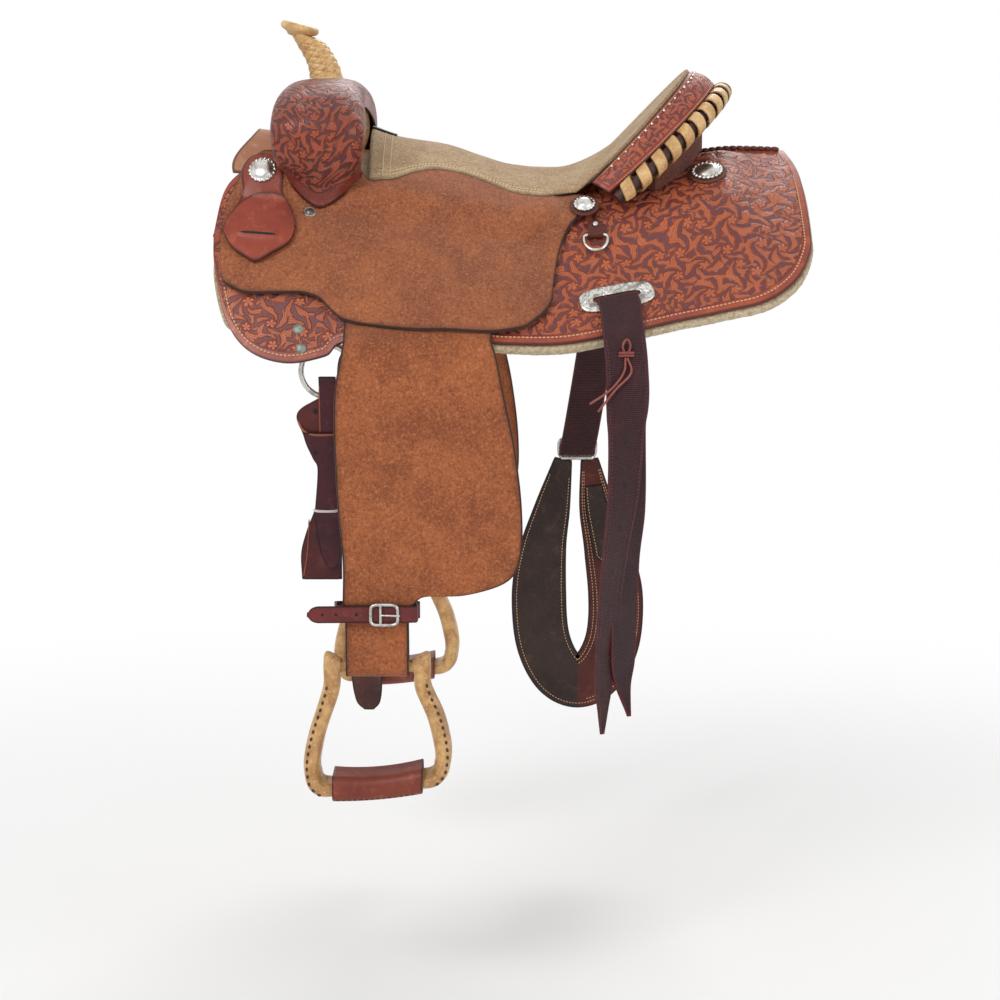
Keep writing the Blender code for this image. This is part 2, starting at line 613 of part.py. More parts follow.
def make_fork():
    """The wooden fork, the leather that covers it and the arched liner that passes under it."""
    loft("fork", fork_rings(0.0, FORK_SLIM), "wood")
    outer = fork_cover_rows(COVER_LEATHER + COVER_ROOM, COVER_LEATHER)
    leaf("fork_cover", outer, fork_cover_rows(COVER_ROOM, 0.0), "tooled_leather")
    make_liner()


def make_liner():
    """The arch of plain leather from the near skirt's top edge over the withers to the off one."""
    depth = np.linspace(-1, 1, 17)[None, :]
    run = np.linspace(0, 1, 6)[:, None]
    front = LINER_FRONT + LINER_CROWN_SET * (1 - depth**2) ** 2 + LINER_EDGE_SET * depth**4
    x = front + (LINER_REAR - front) * run
    s = np.abs(depth) * LINER_REACH * np.ones_like(run)
    flank = on_side(x, s, -SKIRT_LEATHER - LAYER, OFF)
    y = np.sign(depth) * (flank[..., 1] - flank[:, 8:9, 1])
    ridge = np.sqrt(y**2 + LINER_CROWN_RADIUS**2)
    slope = np.tan(np.radians(smooth_value(x, RIDGE_SLOPE)))
    z = flank[..., 2] - slope * (ridge - np.abs(y))
    outer = np.stack([x, y, z], axis=2)
    normal = np.cross(np.gradient(outer, axis=0), np.gradient(outer, axis=1))
    normal *= np.sign(normal[..., 2:3])
    normal /= np.linalg.norm(normal, axis=2, keepdims=True)
    leaf("gullet_liner", outer, outer - normal * LINER_LEATHER, "liner_leather")


def make_horn():
    """The horn: a steel core bolted to the fork, its rawhide wrap and the leather-faced cap."""
    line = spline([(x, 0.0, z, r) for (x, z), r in zip(HORN_LINE, HORN_NECK)], 7)
    tangent = np.gradient(line[:, :3], axis=0)
    tilt = math.radians(HORN_CAP_TILT)
    out = np.array([math.sin(tilt), 0.0, math.cos(tilt)])
    tangent[0] = (0.0, 0.0, 1.0)
    tangent /= np.linalg.norm(tangent, axis=1, keepdims=True)
    share = np.linspace(0, 1, 7)[:, None] ** 2
    tangent = tangent * (1 - share) + out * share
    tangent /= np.linalg.norm(tangent, axis=1, keepdims=True)
    side = np.array([0.0, 1.0, 0.0])
    across = np.cross(tangent, side)
    c, s = round_section(14)

    def rings(radius, rows):
        return [p[:3] + r * (c[:, None] * side + s[:, None] * a)
                for p, r, a in zip(line[rows], radius[rows], across[rows])]

    every = slice(None)
    outside = rings(line[:, 3], every)
    inside = rings(np.full(7, HORN_STEEL + GAP), every)
    count, size = 7, 14
    points = np.concatenate([np.concatenate(outside), np.concatenate(inside)])
    faces = []
    for j in range(size):
        k = (j + 1) % size
        for i in range(count - 1):
            a, b = i * size + j, i * size + k
            faces.append((a, b, b + size, a + size))
            a, b = a + count * size, b + count * size
            faces.append((b, a, a + size, b + size))
        top, low = (count - 1) * size, count * size
        faces.append((j, low + j, low + k, k))
        faces.append((top + j, top + k, low + top + k, low + top + j))
    wrap = build("horn_wrap", points, faces, "rawhide")
    core = loft("horn_core", rings(np.full(7, HORN_STEEL), every), "steel")
    along = np.array([math.cos(tilt), 0.0, -math.sin(tilt)])
    edge, half = HORN_CAP_RADIUS, HORN_CAP_EDGE / 2
    place = line[-1, :3] + out * (half + GAP) + np.array(HORN_CAP_SHIFT)
    profile = [(edge * 0.62, -half), (edge * 0.90, -half * 0.75), (edge, 0.0), (edge * 0.93, half * 0.7),
               (edge * 0.78, half)]
    cap = turned("horn_cap", place, (along, side, out), profile, "rawhide", 20)
    settle([wrap, core, cap], ["fork_cover"], (0.0, 0.0, -1.0))


def seat_edge_line(x):
    """Where the seat's outer edge lies on the jockey, off side: half width and height."""
    s = smooth_value(x, SEAT_EDGE) - SEAT_JOIN
    place = on_side(x, s, seat_lift(x, s), OFF)
    return place[..., 1], place[..., 2]


def rim_point(a):
    """The cantle's rim, from the near end at a = -1 over the top at 0 to the off end at 1."""
    a = np.asarray(a, float)
    turn = (1 - np.abs(a)) * math.pi / 2
    end, top = np.array(CANTLE_END), np.array(CANTLE_TOP)
    x = end[0] + (top[0] - end[0]) * np.sin(turn)
    y = np.sign(a) * end[1] * np.cos(turn)
    z = end[2] + (top[2] - end[2]) * np.sin(turn) ** RIM_LIFT
    return np.stack([x, y, z], axis=-1)


def seat_surface(across, front_rows, rear_rows):
    """The seat's upper face: crowned rows behind the fork, then swept up to the cantle's rim."""
    a = np.linspace(-1, 1, across)
    rows = []
    for x in np.linspace(SEAT_FRONT_X, SEAT_TURN_X, front_rows):
        half, low = seat_edge_line(x)
        crown = smooth_value(x, SEAT_CROWN)
        z = low + (crown - low) * (1 - np.abs(a) ** SEAT_CROWN_POWER)
        rows.append(np.stack([np.full_like(a, x), a * half, z], axis=-1))
    start, rim = rows[-1], rim_point(a)
    half, low = seat_edge_line(SEAT_HEEL_X)
    bend = start.copy()
    bend[:, 0] = SEAT_TURN_X + (SEAT_HEEL_X - SEAT_TURN_X) * (1 - np.abs(a) ** 3)
    bend[:, 0] = np.minimum(bend[:, 0], rim[:, 0] * 0.55 + SEAT_TURN_X * 0.45 + SEAT_DISH)
    bend[:, 2] -= SEAT_DISH * (1 - a**2)
    for t in np.linspace(0, 1, rear_rows)[1:]:
        rows.append(start * (1 - t) ** 2 + bend * 2 * t * (1 - t) + rim * t**2)
    return np.array(rows)


def grid_normal(grid):
    """Unit normals of a grid of points, pointing up."""
    normal = np.cross(np.gradient(grid, axis=0), np.gradient(grid, axis=1))
    normal *= np.sign(normal[..., 2:3])
    return normal / np.linalg.norm(normal, axis=2, keepdims=True)


def make_seat():
    """The padded seat, the hard ground seat under it and the wooden cantle board behind."""
    top = seat_surface(17, 9, 8)
    up = grid_normal(top)
    rows, across = top.shape[:2]
    a = np.abs(np.linspace(-1, 1, across))[None, :, None]
    b = np.linspace(0, 1, rows)[:, None, None]
    hem = ease((1 - a) / 0.22) * ease((1 - b) / 0.12) * ease(b / 0.08 + 0.2)
    pad = SEAT_EDGE_THICKNESS + (SEAT_PAD - SEAT_EDGE_THICKNESS) * hem
    leaf("seat", top, top - up * pad, "suede")
    inset = np.concatenate([top[1:-1, 2:-2]])
    tuck = up[1:-1, 2:-2]
    below = inset - tuck * (SEAT_PAD + LAYER)
    leaf("ground_seat", below, below - tuck * GROUND_SEAT, "steel")


def band_direction(a):
    """Which way the cantle band leans out from the rim at each place along it."""
    a = np.asarray(a, float)
    turn = (1 - np.abs(a)) * math.pi / 2
    lean = np.stack([np.ones_like(a), np.sign(a) * 0.8 * np.cos(turn),
                     -(0.50 + 0.32 * np.sin(2 * turn))], axis=-1)
    return lean / np.linalg.norm(lean, axis=-1, keepdims=True)


def make_cantle():
    """The cantle board, its leather band, the roll along the band's edge and the rawhide lacing."""
    a = np.linspace(-BAND_END, BAND_END, 25)
    rim, lean = rim_point(a), band_direction(a)
    tangent = np.gradient(rim, axis=0)
    tangent /= np.linalg.norm(tangent, axis=1, keepdims=True)
    face = np.cross(tangent, lean)
    face *= np.sign(face[:, 2:3])
    face /= np.linalg.norm(face, axis=1, keepdims=True)
    square = np.cross(face, tangent)
    square *= np.sign(np.sum(square * lean, axis=1, keepdims=True))
    width = BAND_WIDTH * (1 - 0.22 * np.abs(a) ** 3) - BAND_JOIN
    steps = np.linspace(0, 1, 4)
    outer = np.array([rim + lean * (BAND_JOIN + t * width[:, None]) + face * BAND_CROWN * math.sin(math.pi * t)
                      for t in steps])
    leaf("cantle_band", outer, outer - face[None] * BAND_THICKNESS, "tooled_leather")
    room = LACE_THICKNESS + LACE_ROOM + GAP
    centre = (rim + lean * (BAND_JOIN + width[:, None] + room + ROLL_RADIUS)
              - face * (BAND_THICKNESS / 2 + ROLL_SINK))
    c, s = round_section(12)
    rings = (centre[:, None] + ROLL_RADIUS * (c[None, :, None] * square[:, None]
                                              + s[None, :, None] * face[:, None]))
    loft("cantle_roll", rings, "dark_leather")
    count = LACE_TURNS * LACE_STEPS + 1
    t = np.linspace(0, 1, count)
    fine = np.linspace(-BAND_END, BAND_END, 25)
    reach = np.interp(t, [0, 1], [-LACE_END, LACE_END])
    core = np.stack([np.interp(reach, fine, centre[:, k]) for k in range(3)], axis=1)
    out = np.stack([np.interp(reach, fine, square[:, k]) for k in range(3)], axis=1)
    top = np.stack([np.interp(reach, fine, face[:, k]) for k in range(3)], axis=1)
    spin = 2 * math.pi * LACE_TURNS * t[:, None]
    radial = np.cos(spin) * out + np.sin(spin) * top
    around = -np.sin(spin) * out + np.cos(spin) * top
    middle = core + radial * (ROLL_RADIUS + LACE_ROOM + LACE_THICKNESS / 2)
    heading = np.gradient(middle, axis=0)
    heading /= np.linalg.norm(heading, axis=1, keepdims=True)
    across = np.cross(heading, radial)
    across /= np.linalg.norm(across, axis=1, keepdims=True)
    half, thick = LACE_WIDTH / 2, LACE_THICKNESS / 2
    corners = [(-half, 0.0), (-half * 0.6, thick), (half * 0.6, thick), (half, 0.0),
               (half * 0.6, -thick), (-half * 0.6, -thick)]
    lace = np.array([[m + w * x + r * h for w, h in corners] for m, x, r in zip(middle, across, radial)])
    loft("cantle_lacing", lace, "rawhide")
    gap = np.linalg.norm(middle[LACE_STEPS:] - middle[:-LACE_STEPS], axis=1).min() - LACE_WIDTH
    print(f"lacing: least gap between turns {gap * 1000:.1f} mm")
    make_cantle_board()


def flank_top(x, y, lift):
    """Height over the side at x along and y out, standing lift out of the skirt's face."""
    first = np.radians(smooth_value(x, RIDGE_SLOPE))
    angle = np.arcsin(np.clip(np.sin(first) + np.abs(y) / SIDE_RADIUS, 0, 0.99))
    s = SIDE_RADIUS * (angle - first)
    height = smooth_value(x, RIDGE_HEIGHT) - SIDE_RADIUS * (np.cos(first) - np.cos(angle))
    return height + lift(x, s) / np.cos(angle)


def make_cantle_board():
    """The curved wooden board that stands on the bars and carries the rim."""
    a = np.linspace(-BOARD_END, BOARD_END, 21)
    rim = rim_point(a)
    turn = (1 - np.abs(a)) * math.pi / 2
    outward = np.stack([np.ones_like(a), np.sign(a) * np.cos(turn) ** 2, 0 * a], axis=-1)
    outward /= np.linalg.norm(outward, axis=1, keepdims=True)
    down = np.array([0.0, 0.0, -1.0])
    front = rim + outward * BOARD_SET_BACK + down * BOARD_DROP
    back = front + outward * CANTLE_BOARD + down * BOARD_SLOPE
    faces = []
    for top in (front, back):
        foot = top.copy()
        foot[:, 2] = flank_top(top[:, 0], top[:, 1], lambda x, s: skirt_rise(x, s) + LAYER)
        foot[:, 2] = np.minimum(foot[:, 2], top[:, 2] - BOARD_LEAST)
        faces.append(np.array([top * (1 - t) + foot * t for t in np.linspace(0, 1, 4)]))
    leaf("cantle_board", faces[0], faces[1], "wood")


def seated(place, reach, surface, side):
    """Where a flat fitting rests on the curved side: its centre and its three directions."""
    x, s = place
    turn = np.linspace(0, 2 * math.pi, 16, endpoint=False)
    ring = np.array([0.0, 0.5, 1.0])[:, None]
    xs, ss = x + ring * reach[0] * np.cos(turn), s + ring * reach[1] * np.sin(turn)
    points = on_side(xs, ss, surface(xs, ss), side).reshape(-1, 3)
    centre = points.mean(axis=0)
    out = np.linalg.svd(points - centre)[2][2]
    out *= math.copysign(1.0, float(out @ side_axes(x, s, side)[2]))
    along = np.array([1.0, 0.0, 0.0]) - out * out[0]
    along /= np.linalg.norm(along)
    down = np.cross(along, out)
    down *= -math.copysign(1.0, down[2])
    rise = float(((points - centre) @ out).max()) + LAYER
    return centre + out * rise, (along, down, out)


def ribbon(name, path, across, half, thickness, material):
    """A flat strap along a path, given the direction across it and its half width."""
    path = np.asarray(path, float)
    across = np.broadcast_to(np.asarray(across, float), path.shape)
    half = np.broadcast_to(np.asarray(half, float), len(path))[:, None]
    tangent = np.gradient(path, axis=0)
    face = np.cross(across, tangent)
    face /= np.linalg.norm(face, axis=1, keepdims=True)
    edges = np.stack([path - across * half, path, path + across * half], axis=1)
    skin = face[:, None] * thickness / 2
    return leaf(name, edges + skin, edges - skin, material)


def flat_place(centre, axes, points, height):
    """World points from distances along and down on a fitting's own flat."""
    along, down, out = axes
    points = np.asarray(points, float)
    return centre + points[:, :1] * along + points[:, 1:2] * down + out * height


def make_concho(name, place, radius, material="silver"):
    """A domed silver concho standing on a seated place."""
    centre, axes = place
    return turned(name, centre, axes, [(radius * r, h) for r, h in CONCHO_PROFILE], material, 18)


def make_fittings():
    """Keepers, conchos with their rosettes, dees in their tabs and the slot plates."""
    for word, side in SIDES:
        jockey = f"seat_jockey_{word}"
        keeper = side_panel(f"latigo_keeper_{word}", side, KEEPER_TOP, KEEPER_LOW, 13, 5,
                            lambda x, s: seat_lift(x, s) + KEEPER_LIFT + KEEPER_THICKNESS,
                            lambda x, s: seat_lift(x, s) + KEEPER_LIFT, "roughout")
        settle([keeper], [jockey], -side_axes(*KEEPER_MIDDLE, side)[2])
        place = seated(FRONT_CONCHO, (FRONT_CONCHO_RADIUS, FRONT_CONCHO_RADIUS), seat_lift, side)
        concho = make_concho(f"front_concho_{word}", place, FRONT_CONCHO_RADIUS)
        settle([concho], [jockey, f"latigo_keeper_{word}", "fork_cover"], -place[1][2])
        places = (("seat", SEAT_CONCHO, SEAT_ROSETTE_RADIUS, SEAT_CONCHO_RADIUS,
                   lambda x, s: seat_lift(x, s) + SEAT_CONCHO_LIFT),
                  ("rear", REAR_CONCHO, REAR_ROSETTE_RADIUS, REAR_CONCHO_RADIUS, skirt_rise))
        for part, spot, wide, radius, surface in places:
            centre, axes = seated(spot, (wide, wide), surface, side)
            rim = [(wide * 0.97, 0.0), (wide, ROSETTE_THICKNESS / 2), (wide * 0.95, ROSETTE_THICKNESS)]
            rosette = turned(f"{part}_rosette_{word}", centre, axes, rim, "dark_leather", 20)
            concho = make_concho(f"{part}_concho_{word}",
                                 (centre + axes[2] * (ROSETTE_THICKNESS + GAP), axes), radius)
            settle([rosette, concho], [jockey, f"skirt_{word}", "seat", "cantle_band"], -axes[2])
        make_dee(word, side)


def make_dee(word, side):
    """A wire dee whose straight bar turns in a folded leather tab."""
    centre, axes = seated(DEE_PLACE, (0.014, 0.021), skirt_rise, side)
    bar = TAB_THICKNESS + GAP + DEE_WIRE
    turn = np.linspace(-math.pi / 2, math.pi / 2, 7)
    loop = DEE_WIRE + GAP + TAB_THICKNESS / 2
    fold = [(-TAB_LENGTH, TAB_THICKNESS / 2)]
    fold += [(loop * math.cos(a), bar + loop * math.sin(a)) for a in turn]
    fold += [(-TAB_LENGTH * 0.45, bar + loop * 0.5), (-TAB_LENGTH, TAB_THICKNESS * 1.5 + GAP * 2)]
    along, down, out = axes
    path = [centre + down * d + out * h for d, h in fold]
    tab = ribbon(f"dee_tab_{word}", path, along, TAB_HALF, TAB_THICKNESS, "tooled_leather")
    dee = wire(f"rear_dee_{word}", flat_place(centre, axes, DEE_OUTLINE, bar), DEE_WIRE, "nickel", 8)
    shift = settle([tab, dee], [f"skirt_{word}"], -out)
    hang([dee], pivot(f"dee_pivot_{word}", centre + out * bar + shift))


def plate_place(side):
    """The slot plate's centre and directions, tipped up towards the cantle."""
    centre, (along, down, out) = seated(PLATE_PLACE, (PLATE_HALF_LENGTH, PLATE_HALF_HEIGHT),
                                        skirt_rise, side)
    turn = math.radians(PLATE_TURN)
    level = along * math.cos(turn) - down * math.sin(turn)
    drop = down * math.cos(turn) + along * math.sin(turn)
    return centre, (level, drop, out)


def make_plate(word, side):
    """An engraved plate with the slot that the rear billet comes out of."""
    centre, axes = plate_place(side)
    count = 24
    turn = np.linspace(0, 2 * math.pi, count, endpoint=False)
    c, s = np.cos(turn), np.sin(turn)
    wide = np.stack([PLATE_HALF_LENGTH * np.sign(c) * np.abs(c) ** 0.6,
                     PLATE_HALF_HEIGHT * np.sign(s) * np.abs(s) ** 0.6], axis=1)
    slot = np.stack([PLATE_SLOT_HALF * np.sign(c) * np.abs(c) ** 0.4,
                     PLATE_SLOT_HEIGHT / 2 * np.sign(s) * np.abs(s) ** 0.4], axis=1)
    levels = [flat_place(centre, axes, points, height)
              for points, height in ((wide, 0.0), (wide, PLATE_THICKNESS), (slot, PLATE_THICKNESS),
                                     (slot, 0.0))]
    plate = loft(f"slot_plate_{word}", np.stack(levels, axis=1), "silver", closed=True)
    shift = settle([plate], [f"skirt_{word}"], -axes[2])
    return centre + shift + axes[2] * PLATE_THICKNESS, axes


def fender_y(z):
    """How far out from the middle the fender's leather hangs at a height."""
    return smooth_value(-np.asarray(z, float), FENDER_HANG)


def make_legs():
    """Fenders with their stirrup leathers and hobble straps, and the stirrups below."""
    for word, side in SIDES:
        front, back = spline(FENDER_FRONT, 16), spline(FENDER_BACK, 16)
        across = np.linspace(0, 1, 7)[None, :, None]
        face = front[:, None] * (1 - across) + back[:, None] * across
        x, z = face[..., 0], face[..., 1]
        outer = np.stack([x, side * (fender_y(z) + FENDER_LEATHER / 2), z], axis=2)
        inner = np.stack([x, side * (fender_y(z) - FENDER_LEATHER / 2), z], axis=2)
        carried = [leaf(f"fender_{word}", outer, inner, "roughout")]
        carried.append(make_stirrup_leather(word, side))
        carried += make_hobble(word, side)
        stirrup = make_stirrup(word, side)
        shift = settle([carried[0]], [f"skirt_{word}", f"seat_jockey_{word}"],
                       (0.0, -side * FENDER_TUCK[0], FENDER_TUCK[1]), FENDER_ROOM)
        for item in carried[1:] + stirrup:
            item.data.transform(Matrix.Translation(shift))
        top = np.array([HINGE_X, side * float(fender_y(FENDER_TOP)), FENDER_TOP])
        hang(carried, pivot(f"fender_pivot_{word}", top + shift))
        bolt = np.array([STIRRUP_X, side * BOLT_Y, BOLT_HEIGHT])
        hang(stirrup, pivot(f"stirrup_pivot_{word}", bolt + shift))


def make_stirrup_leather(word, side):
    """The leather from behind the fender down round the stirrup's bolt and up its outer side."""
    loop = BOLT_RADIUS + GAP + LAYER / 2 + STRAP_THICKNESS / 2
    inner = [(0.2602, INNER_PLY_TOP), (0.2602, -0.372), (0.2565, -0.400), (0.2490, -0.430),
             (BOLT_Y - loop, -0.452)]
    turn = np.linspace(math.pi, 2 * math.pi, 9)
    around = [(BOLT_Y + loop * math.cos(a), BOLT_HEIGHT + loop * math.sin(a)) for a in turn]
    outer = [(0.2652, -0.452), (0.2650, -0.425), (0.2650, NECK_TOP)]
    path = [(NECK_X, side * y, z) for y, z in inner + around + outer]
    return ribbon(f"stirrup_leather_{word}", path, (1.0, 0.0, 0.0), NECK_HALF, STRAP_THICKNESS, "roughout")


def make_hobble(word, side):
    """The hobble strap round the neck of the fender, its buckle and the buckle's tongue."""
    path = [(x, side * y, HOBBLE_HEIGHT) for x, y in HOBBLE_ROUND]
    strap = ribbon(f"hobble_strap_{word}", path, (0.0, 0.0, 1.0), HOBBLE_HALF, HOBBLE_THICKNESS,
                   "strap_leather")
    wide, high = HOBBLE_BUCKLE_LENGTH / 2 - HOBBLE_WIRE, HOBBLE_BUCKLE_WIDTH / 2 - HOBBLE_WIRE
    turn = np.linspace(0, 2 * math.pi, 16, endpoint=False) + math.pi / 16
    c, s = np.cos(turn), np.sin(turn)
    frame = [(HOBBLE_BUCKLE_X + wide * math.copysign(abs(a) ** 0.5, a), side * HOBBLE_BUCKLE_OUT,
              HOBBLE_HEIGHT + high * math.copysign(abs(b) ** 0.5, b)) for a, b in zip(c, s)]
    buckle = wire(f"hobble_buckle_{word}", frame, HOBBLE_WIRE, "nickel", 8)
    return [strap, buckle]


def make_stirrup(word, side):
    """The rawhide-covered bell with its bolt, and the leather tread round its foot bar."""
    half = np.array(STIRRUP_BELL)
    mirror = half[-2:0:-1] * (-1, 1, -1, 1, 1)
    bell = np.concatenate([half, mirror])
    c, s = round_section(BELL_SIDES, 0.7)
    rings = []
    for x0, z0, x1, z1, depth in bell:
        middle, reach = np.array([(x0 + x1) / 2, (z0 + z1) / 2]), np.array([(x1 - x0) / 2, (z1 - z0) / 2])
        flat = middle + reach * c[:, None] * 1.08
        rings.append(np.stack([STIRRUP_X + flat[:, 0], side * BOLT_Y + depth / 2 * 1.08 * s, flat[:, 1]], axis=1))
    frame = loft(f"stirrup_{word}", [lean(ring) for ring in rings], "rawhide", closed=True)
    turn = np.linspace(0, 2 * math.pi, 20, endpoint=False)
    c, s = np.cos(turn), np.sin(turn)
    round_y = np.sign(c) * np.abs(c) ** 0.45
    round_z = np.clip(1.25 * s, -1.0, 1.0)
    levels = []
    for x, grow in ((-1, 0), (1, 0), (1, 1), (-1, 1)):
        y = (TREAD_DEPTH + grow * TREAD_LEATHER) * round_y
        z = (TREAD_RISE + grow * TREAD_LEATHER) * round_z
        ring = np.stack([STIRRUP_X + x * TREAD_HALF + 0 * y, side * BOLT_Y + y, TREAD_MIDDLE + z], axis=1)
        levels.append(lean(ring))
    tread = loft(f"stirrup_tread_{word}", np.stack(levels, axis=1), "dark_leather", closed=True)
    return [frame, tread]


def lean(points):
    """The stirrup hangs a little out of level below its bolt."""
    points = np.array(points, float)
    share = ease((BOLT_HEIGHT - 0.010 - points[:, 2]) / 0.050)
    points[:, 2] += (points[:, 0] - STIRRUP_X) * math.tan(math.radians(STIRRUP_LEAN)) * share
    return points


def make_front_rigging():
    """The rigging rings with the near latigo and the off billet folded through them."""
    x, y, z = RING_PLACE
    turn = np.linspace(0, 2 * math.pi, 24, endpoint=False)
    c, s = np.cos(turn), np.sin(turn)
    low = z - RING_RADIUS
    fold = np.linspace(math.pi, 0, 7)
    for word, side, line in (("near", NEAR, LATIGO_LINE), ("off", OFF, OFF_BILLET_LINE)):
        path = np.stack([x + RING_RADIUS * c, side * y + 0 * c, z + RING_RADIUS * s], axis=1)
        ring = wire(f"rigging_ring_{word}", path, RING_WIRE, "nickel", 8)
        out = STRAP_LOOP if side == NEAR else -STRAP_LOOP
        strap = [(x, side * (y - out * 0.7), low - 0.060), (x, side * (y - out * 0.85), low - 0.025)]
        strap += [(x, side * (y + out * math.cos(a)), low + STRAP_LOOP * math.sin(a)) for a in fold]
        strap += [(px, side * (y + out), pz) for px, pz in line]
        half = [LATIGO_HALF, LATIGO_HALF * 0.8] + [LOOP_HALF] * 7 + [LATIGO_HALF * 0.85]
        half += [LATIGO_HALF] * (len(line) - 2) + [LATIGO_HALF * 0.6]
        name = "latigo" if side == NEAR else "off_billet"
        piece = ribbon(name, strap, (1.0, 0.0, 0.0), half, LATIGO_THICKNESS, "strap_leather")
        shift = settle([ring, piece], [f"skirt_{word}", f"fleece_{word}"], (0.0, side, 0.0))
        hang([ring, piece], pivot(f"ring_pivot_{word}", np.array([x, side * y, z]) + shift))


def make_rear_rigging():
    """The rear billets out of the slot plates, and the flank cinch buckled to the off one."""
    for word, side, line in (("near", NEAR, BILLET_NEAR), ("off", OFF, BILLET_OFF)):
        slot, (level, down, out) = make_plate(word, side)
        top = [slot + down * d + out * h for d, h in BILLET_MOUTH]
        rest = spline([(x, side * (y + BILLET_LIFT), z) for x, y, z in line], BILLET_STEPS - len(top))
        path = np.vstack([top, rest])
        half = np.full(BILLET_STEPS, BILLET_HALF)
        half[-1] *= 0.55
        share = ease(np.linspace(0, 1, BILLET_STEPS) / 0.25)[:, None]
        across = level * (1 - share) + np.array([1.0, 0.0, 0.0]) * share
        items = [ribbon(f"rear_billet_{word}", path, across, half, NYLON, "nylon")]
        if side == OFF:
            items.append(make_cinch_buckle())
        hang(items, pivot(f"billet_pivot_{word}", slot))
    line = np.array(CINCH_LINE)
    path = spline([(x, CINCH_Y, z) for x, z in line], 34)
    tangent = np.gradient(path, axis=0)
    tangent /= np.linalg.norm(tangent, axis=1, keepdims=True)
    across = np.cross(tangent, (0.0, 1.0, 0.0))
    half = smooth_value(np.linspace(0, 1, 34), CINCH_HALF)
    cinch = ribbon("flank_cinch", path, across, half, CINCH_THICKNESS, "dark_leather")
    hang([cinch], pivot("cinch_pivot", (0.0850, CINCH_Y, CINCH_HINGE)))


def make_cinch_buckle():
    """The roller buckle that joins the flank cinch to the off billet."""
    x, z = CINCH_BUCKLE
    wide, high = CINCH_BUCKLE_HALF
    turn = np.linspace(0, 2 * math.pi, 16, endpoint=False) + math.pi / 16
    c, s = np.cos(turn), np.sin(turn)
    out = BILLET_OFF[-1][1] + BILLET_LIFT + NYLON / 2 + CINCH_WIRE + GAP
    path = [(x + wide * math.copysign(abs(a) ** 0.5, a), out, z + high * math.copysign(abs(b) ** 0.5, b))
            for a, b in zip(c, s)]
    return wire("cinch_buckle", path, CINCH_WIRE, "nickel", 8)


clear_objects()
make_sides()
make_fork()
make_horn()
make_seat()
make_cantle()
make_fittings()
make_legs()
make_front_rigging()
make_rear_rigging()
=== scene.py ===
"""Barrel racing saddle, dressed: leather, rawhide, suede, wool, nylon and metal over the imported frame."""
import math

import bmesh
import bpy
import numpy as np
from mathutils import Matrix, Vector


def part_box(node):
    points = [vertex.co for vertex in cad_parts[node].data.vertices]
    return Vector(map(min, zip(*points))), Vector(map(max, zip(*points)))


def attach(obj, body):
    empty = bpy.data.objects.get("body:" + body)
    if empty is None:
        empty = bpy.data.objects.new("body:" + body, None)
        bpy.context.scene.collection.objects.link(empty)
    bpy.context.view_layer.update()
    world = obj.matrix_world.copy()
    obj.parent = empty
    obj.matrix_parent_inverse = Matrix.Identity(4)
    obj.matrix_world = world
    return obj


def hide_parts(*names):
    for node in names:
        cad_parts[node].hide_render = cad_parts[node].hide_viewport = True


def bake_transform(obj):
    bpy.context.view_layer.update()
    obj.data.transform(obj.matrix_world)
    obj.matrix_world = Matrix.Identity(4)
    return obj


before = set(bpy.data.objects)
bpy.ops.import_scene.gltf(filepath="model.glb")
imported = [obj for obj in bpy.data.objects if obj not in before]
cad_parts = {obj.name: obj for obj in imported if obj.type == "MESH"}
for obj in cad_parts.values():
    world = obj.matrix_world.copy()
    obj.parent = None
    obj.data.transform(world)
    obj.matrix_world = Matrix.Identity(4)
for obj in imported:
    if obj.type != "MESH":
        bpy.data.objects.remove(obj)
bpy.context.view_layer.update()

# Camera, light and stage
# The view is from the near side, almost level with the seat, through a long lens.
# A white room with two large soft lamps lights the leather evenly.
eye = bpy.data.cameras.new("view")
eye.lens, eye.sensor_width, eye.clip_end = 88.2, 36.0, 50.0
camera = bpy.data.objects.new("view", eye)
camera.location = (-0.012, -2.88, 0.20)
camera.rotation_euler = (math.radians(90 - 10.4), 0.0, 0.0)
bpy.context.scene.collection.objects.link(camera)
bpy.context.scene.camera = camera
bpy.context.scene.view_settings.view_transform = "Standard"


def join(tree, node, inputs):
    """Sets each named input of a node to a value, or joins it to a socket."""
    for key, value in inputs.items():
        if isinstance(value, bpy.types.NodeSocket):
            tree.links.new(value, node.inputs[key])
        else:
            node.inputs[key].default_value = value


def add(tree, kind, inputs=None, **settings):
    """A shader node with its settings, and with its inputs set to values or joined to sockets."""
    made = tree.nodes.new(kind)
    for key, value in settings.items():
        setattr(made, key, value)
    join(tree, made, inputs or {})
    return made


def maths(tree, operation, a, b=0.0, c=0.0):
    """The output of one Math node."""
    return add(tree, "ShaderNodeMath", {0: a, 1: b, 2: c}, operation=operation).outputs[0]


def ramp(tree, value, low, high, to_low=0.0, to_high=1.0):
    """A smooth step of a value between two limits."""
    limits = {"Value": value, "From Min": low, "From Max": high, "To Min": to_low, "To Max": to_high}
    return add(tree, "ShaderNodeMapRange", limits, interpolation_type="SMOOTHSTEP").outputs[0]


def noise(tree, place, scale, detail, rough=0.5, bent=0.0):
    """A fractal noise at a place, as one value."""
    settings = {"Scale": scale, "Detail": detail, "Roughness": rough, "Distortion": bent}
    if place is not None:
        settings["Vector"] = place
    return add(tree, "ShaderNodeTexNoise", settings).outputs[0]


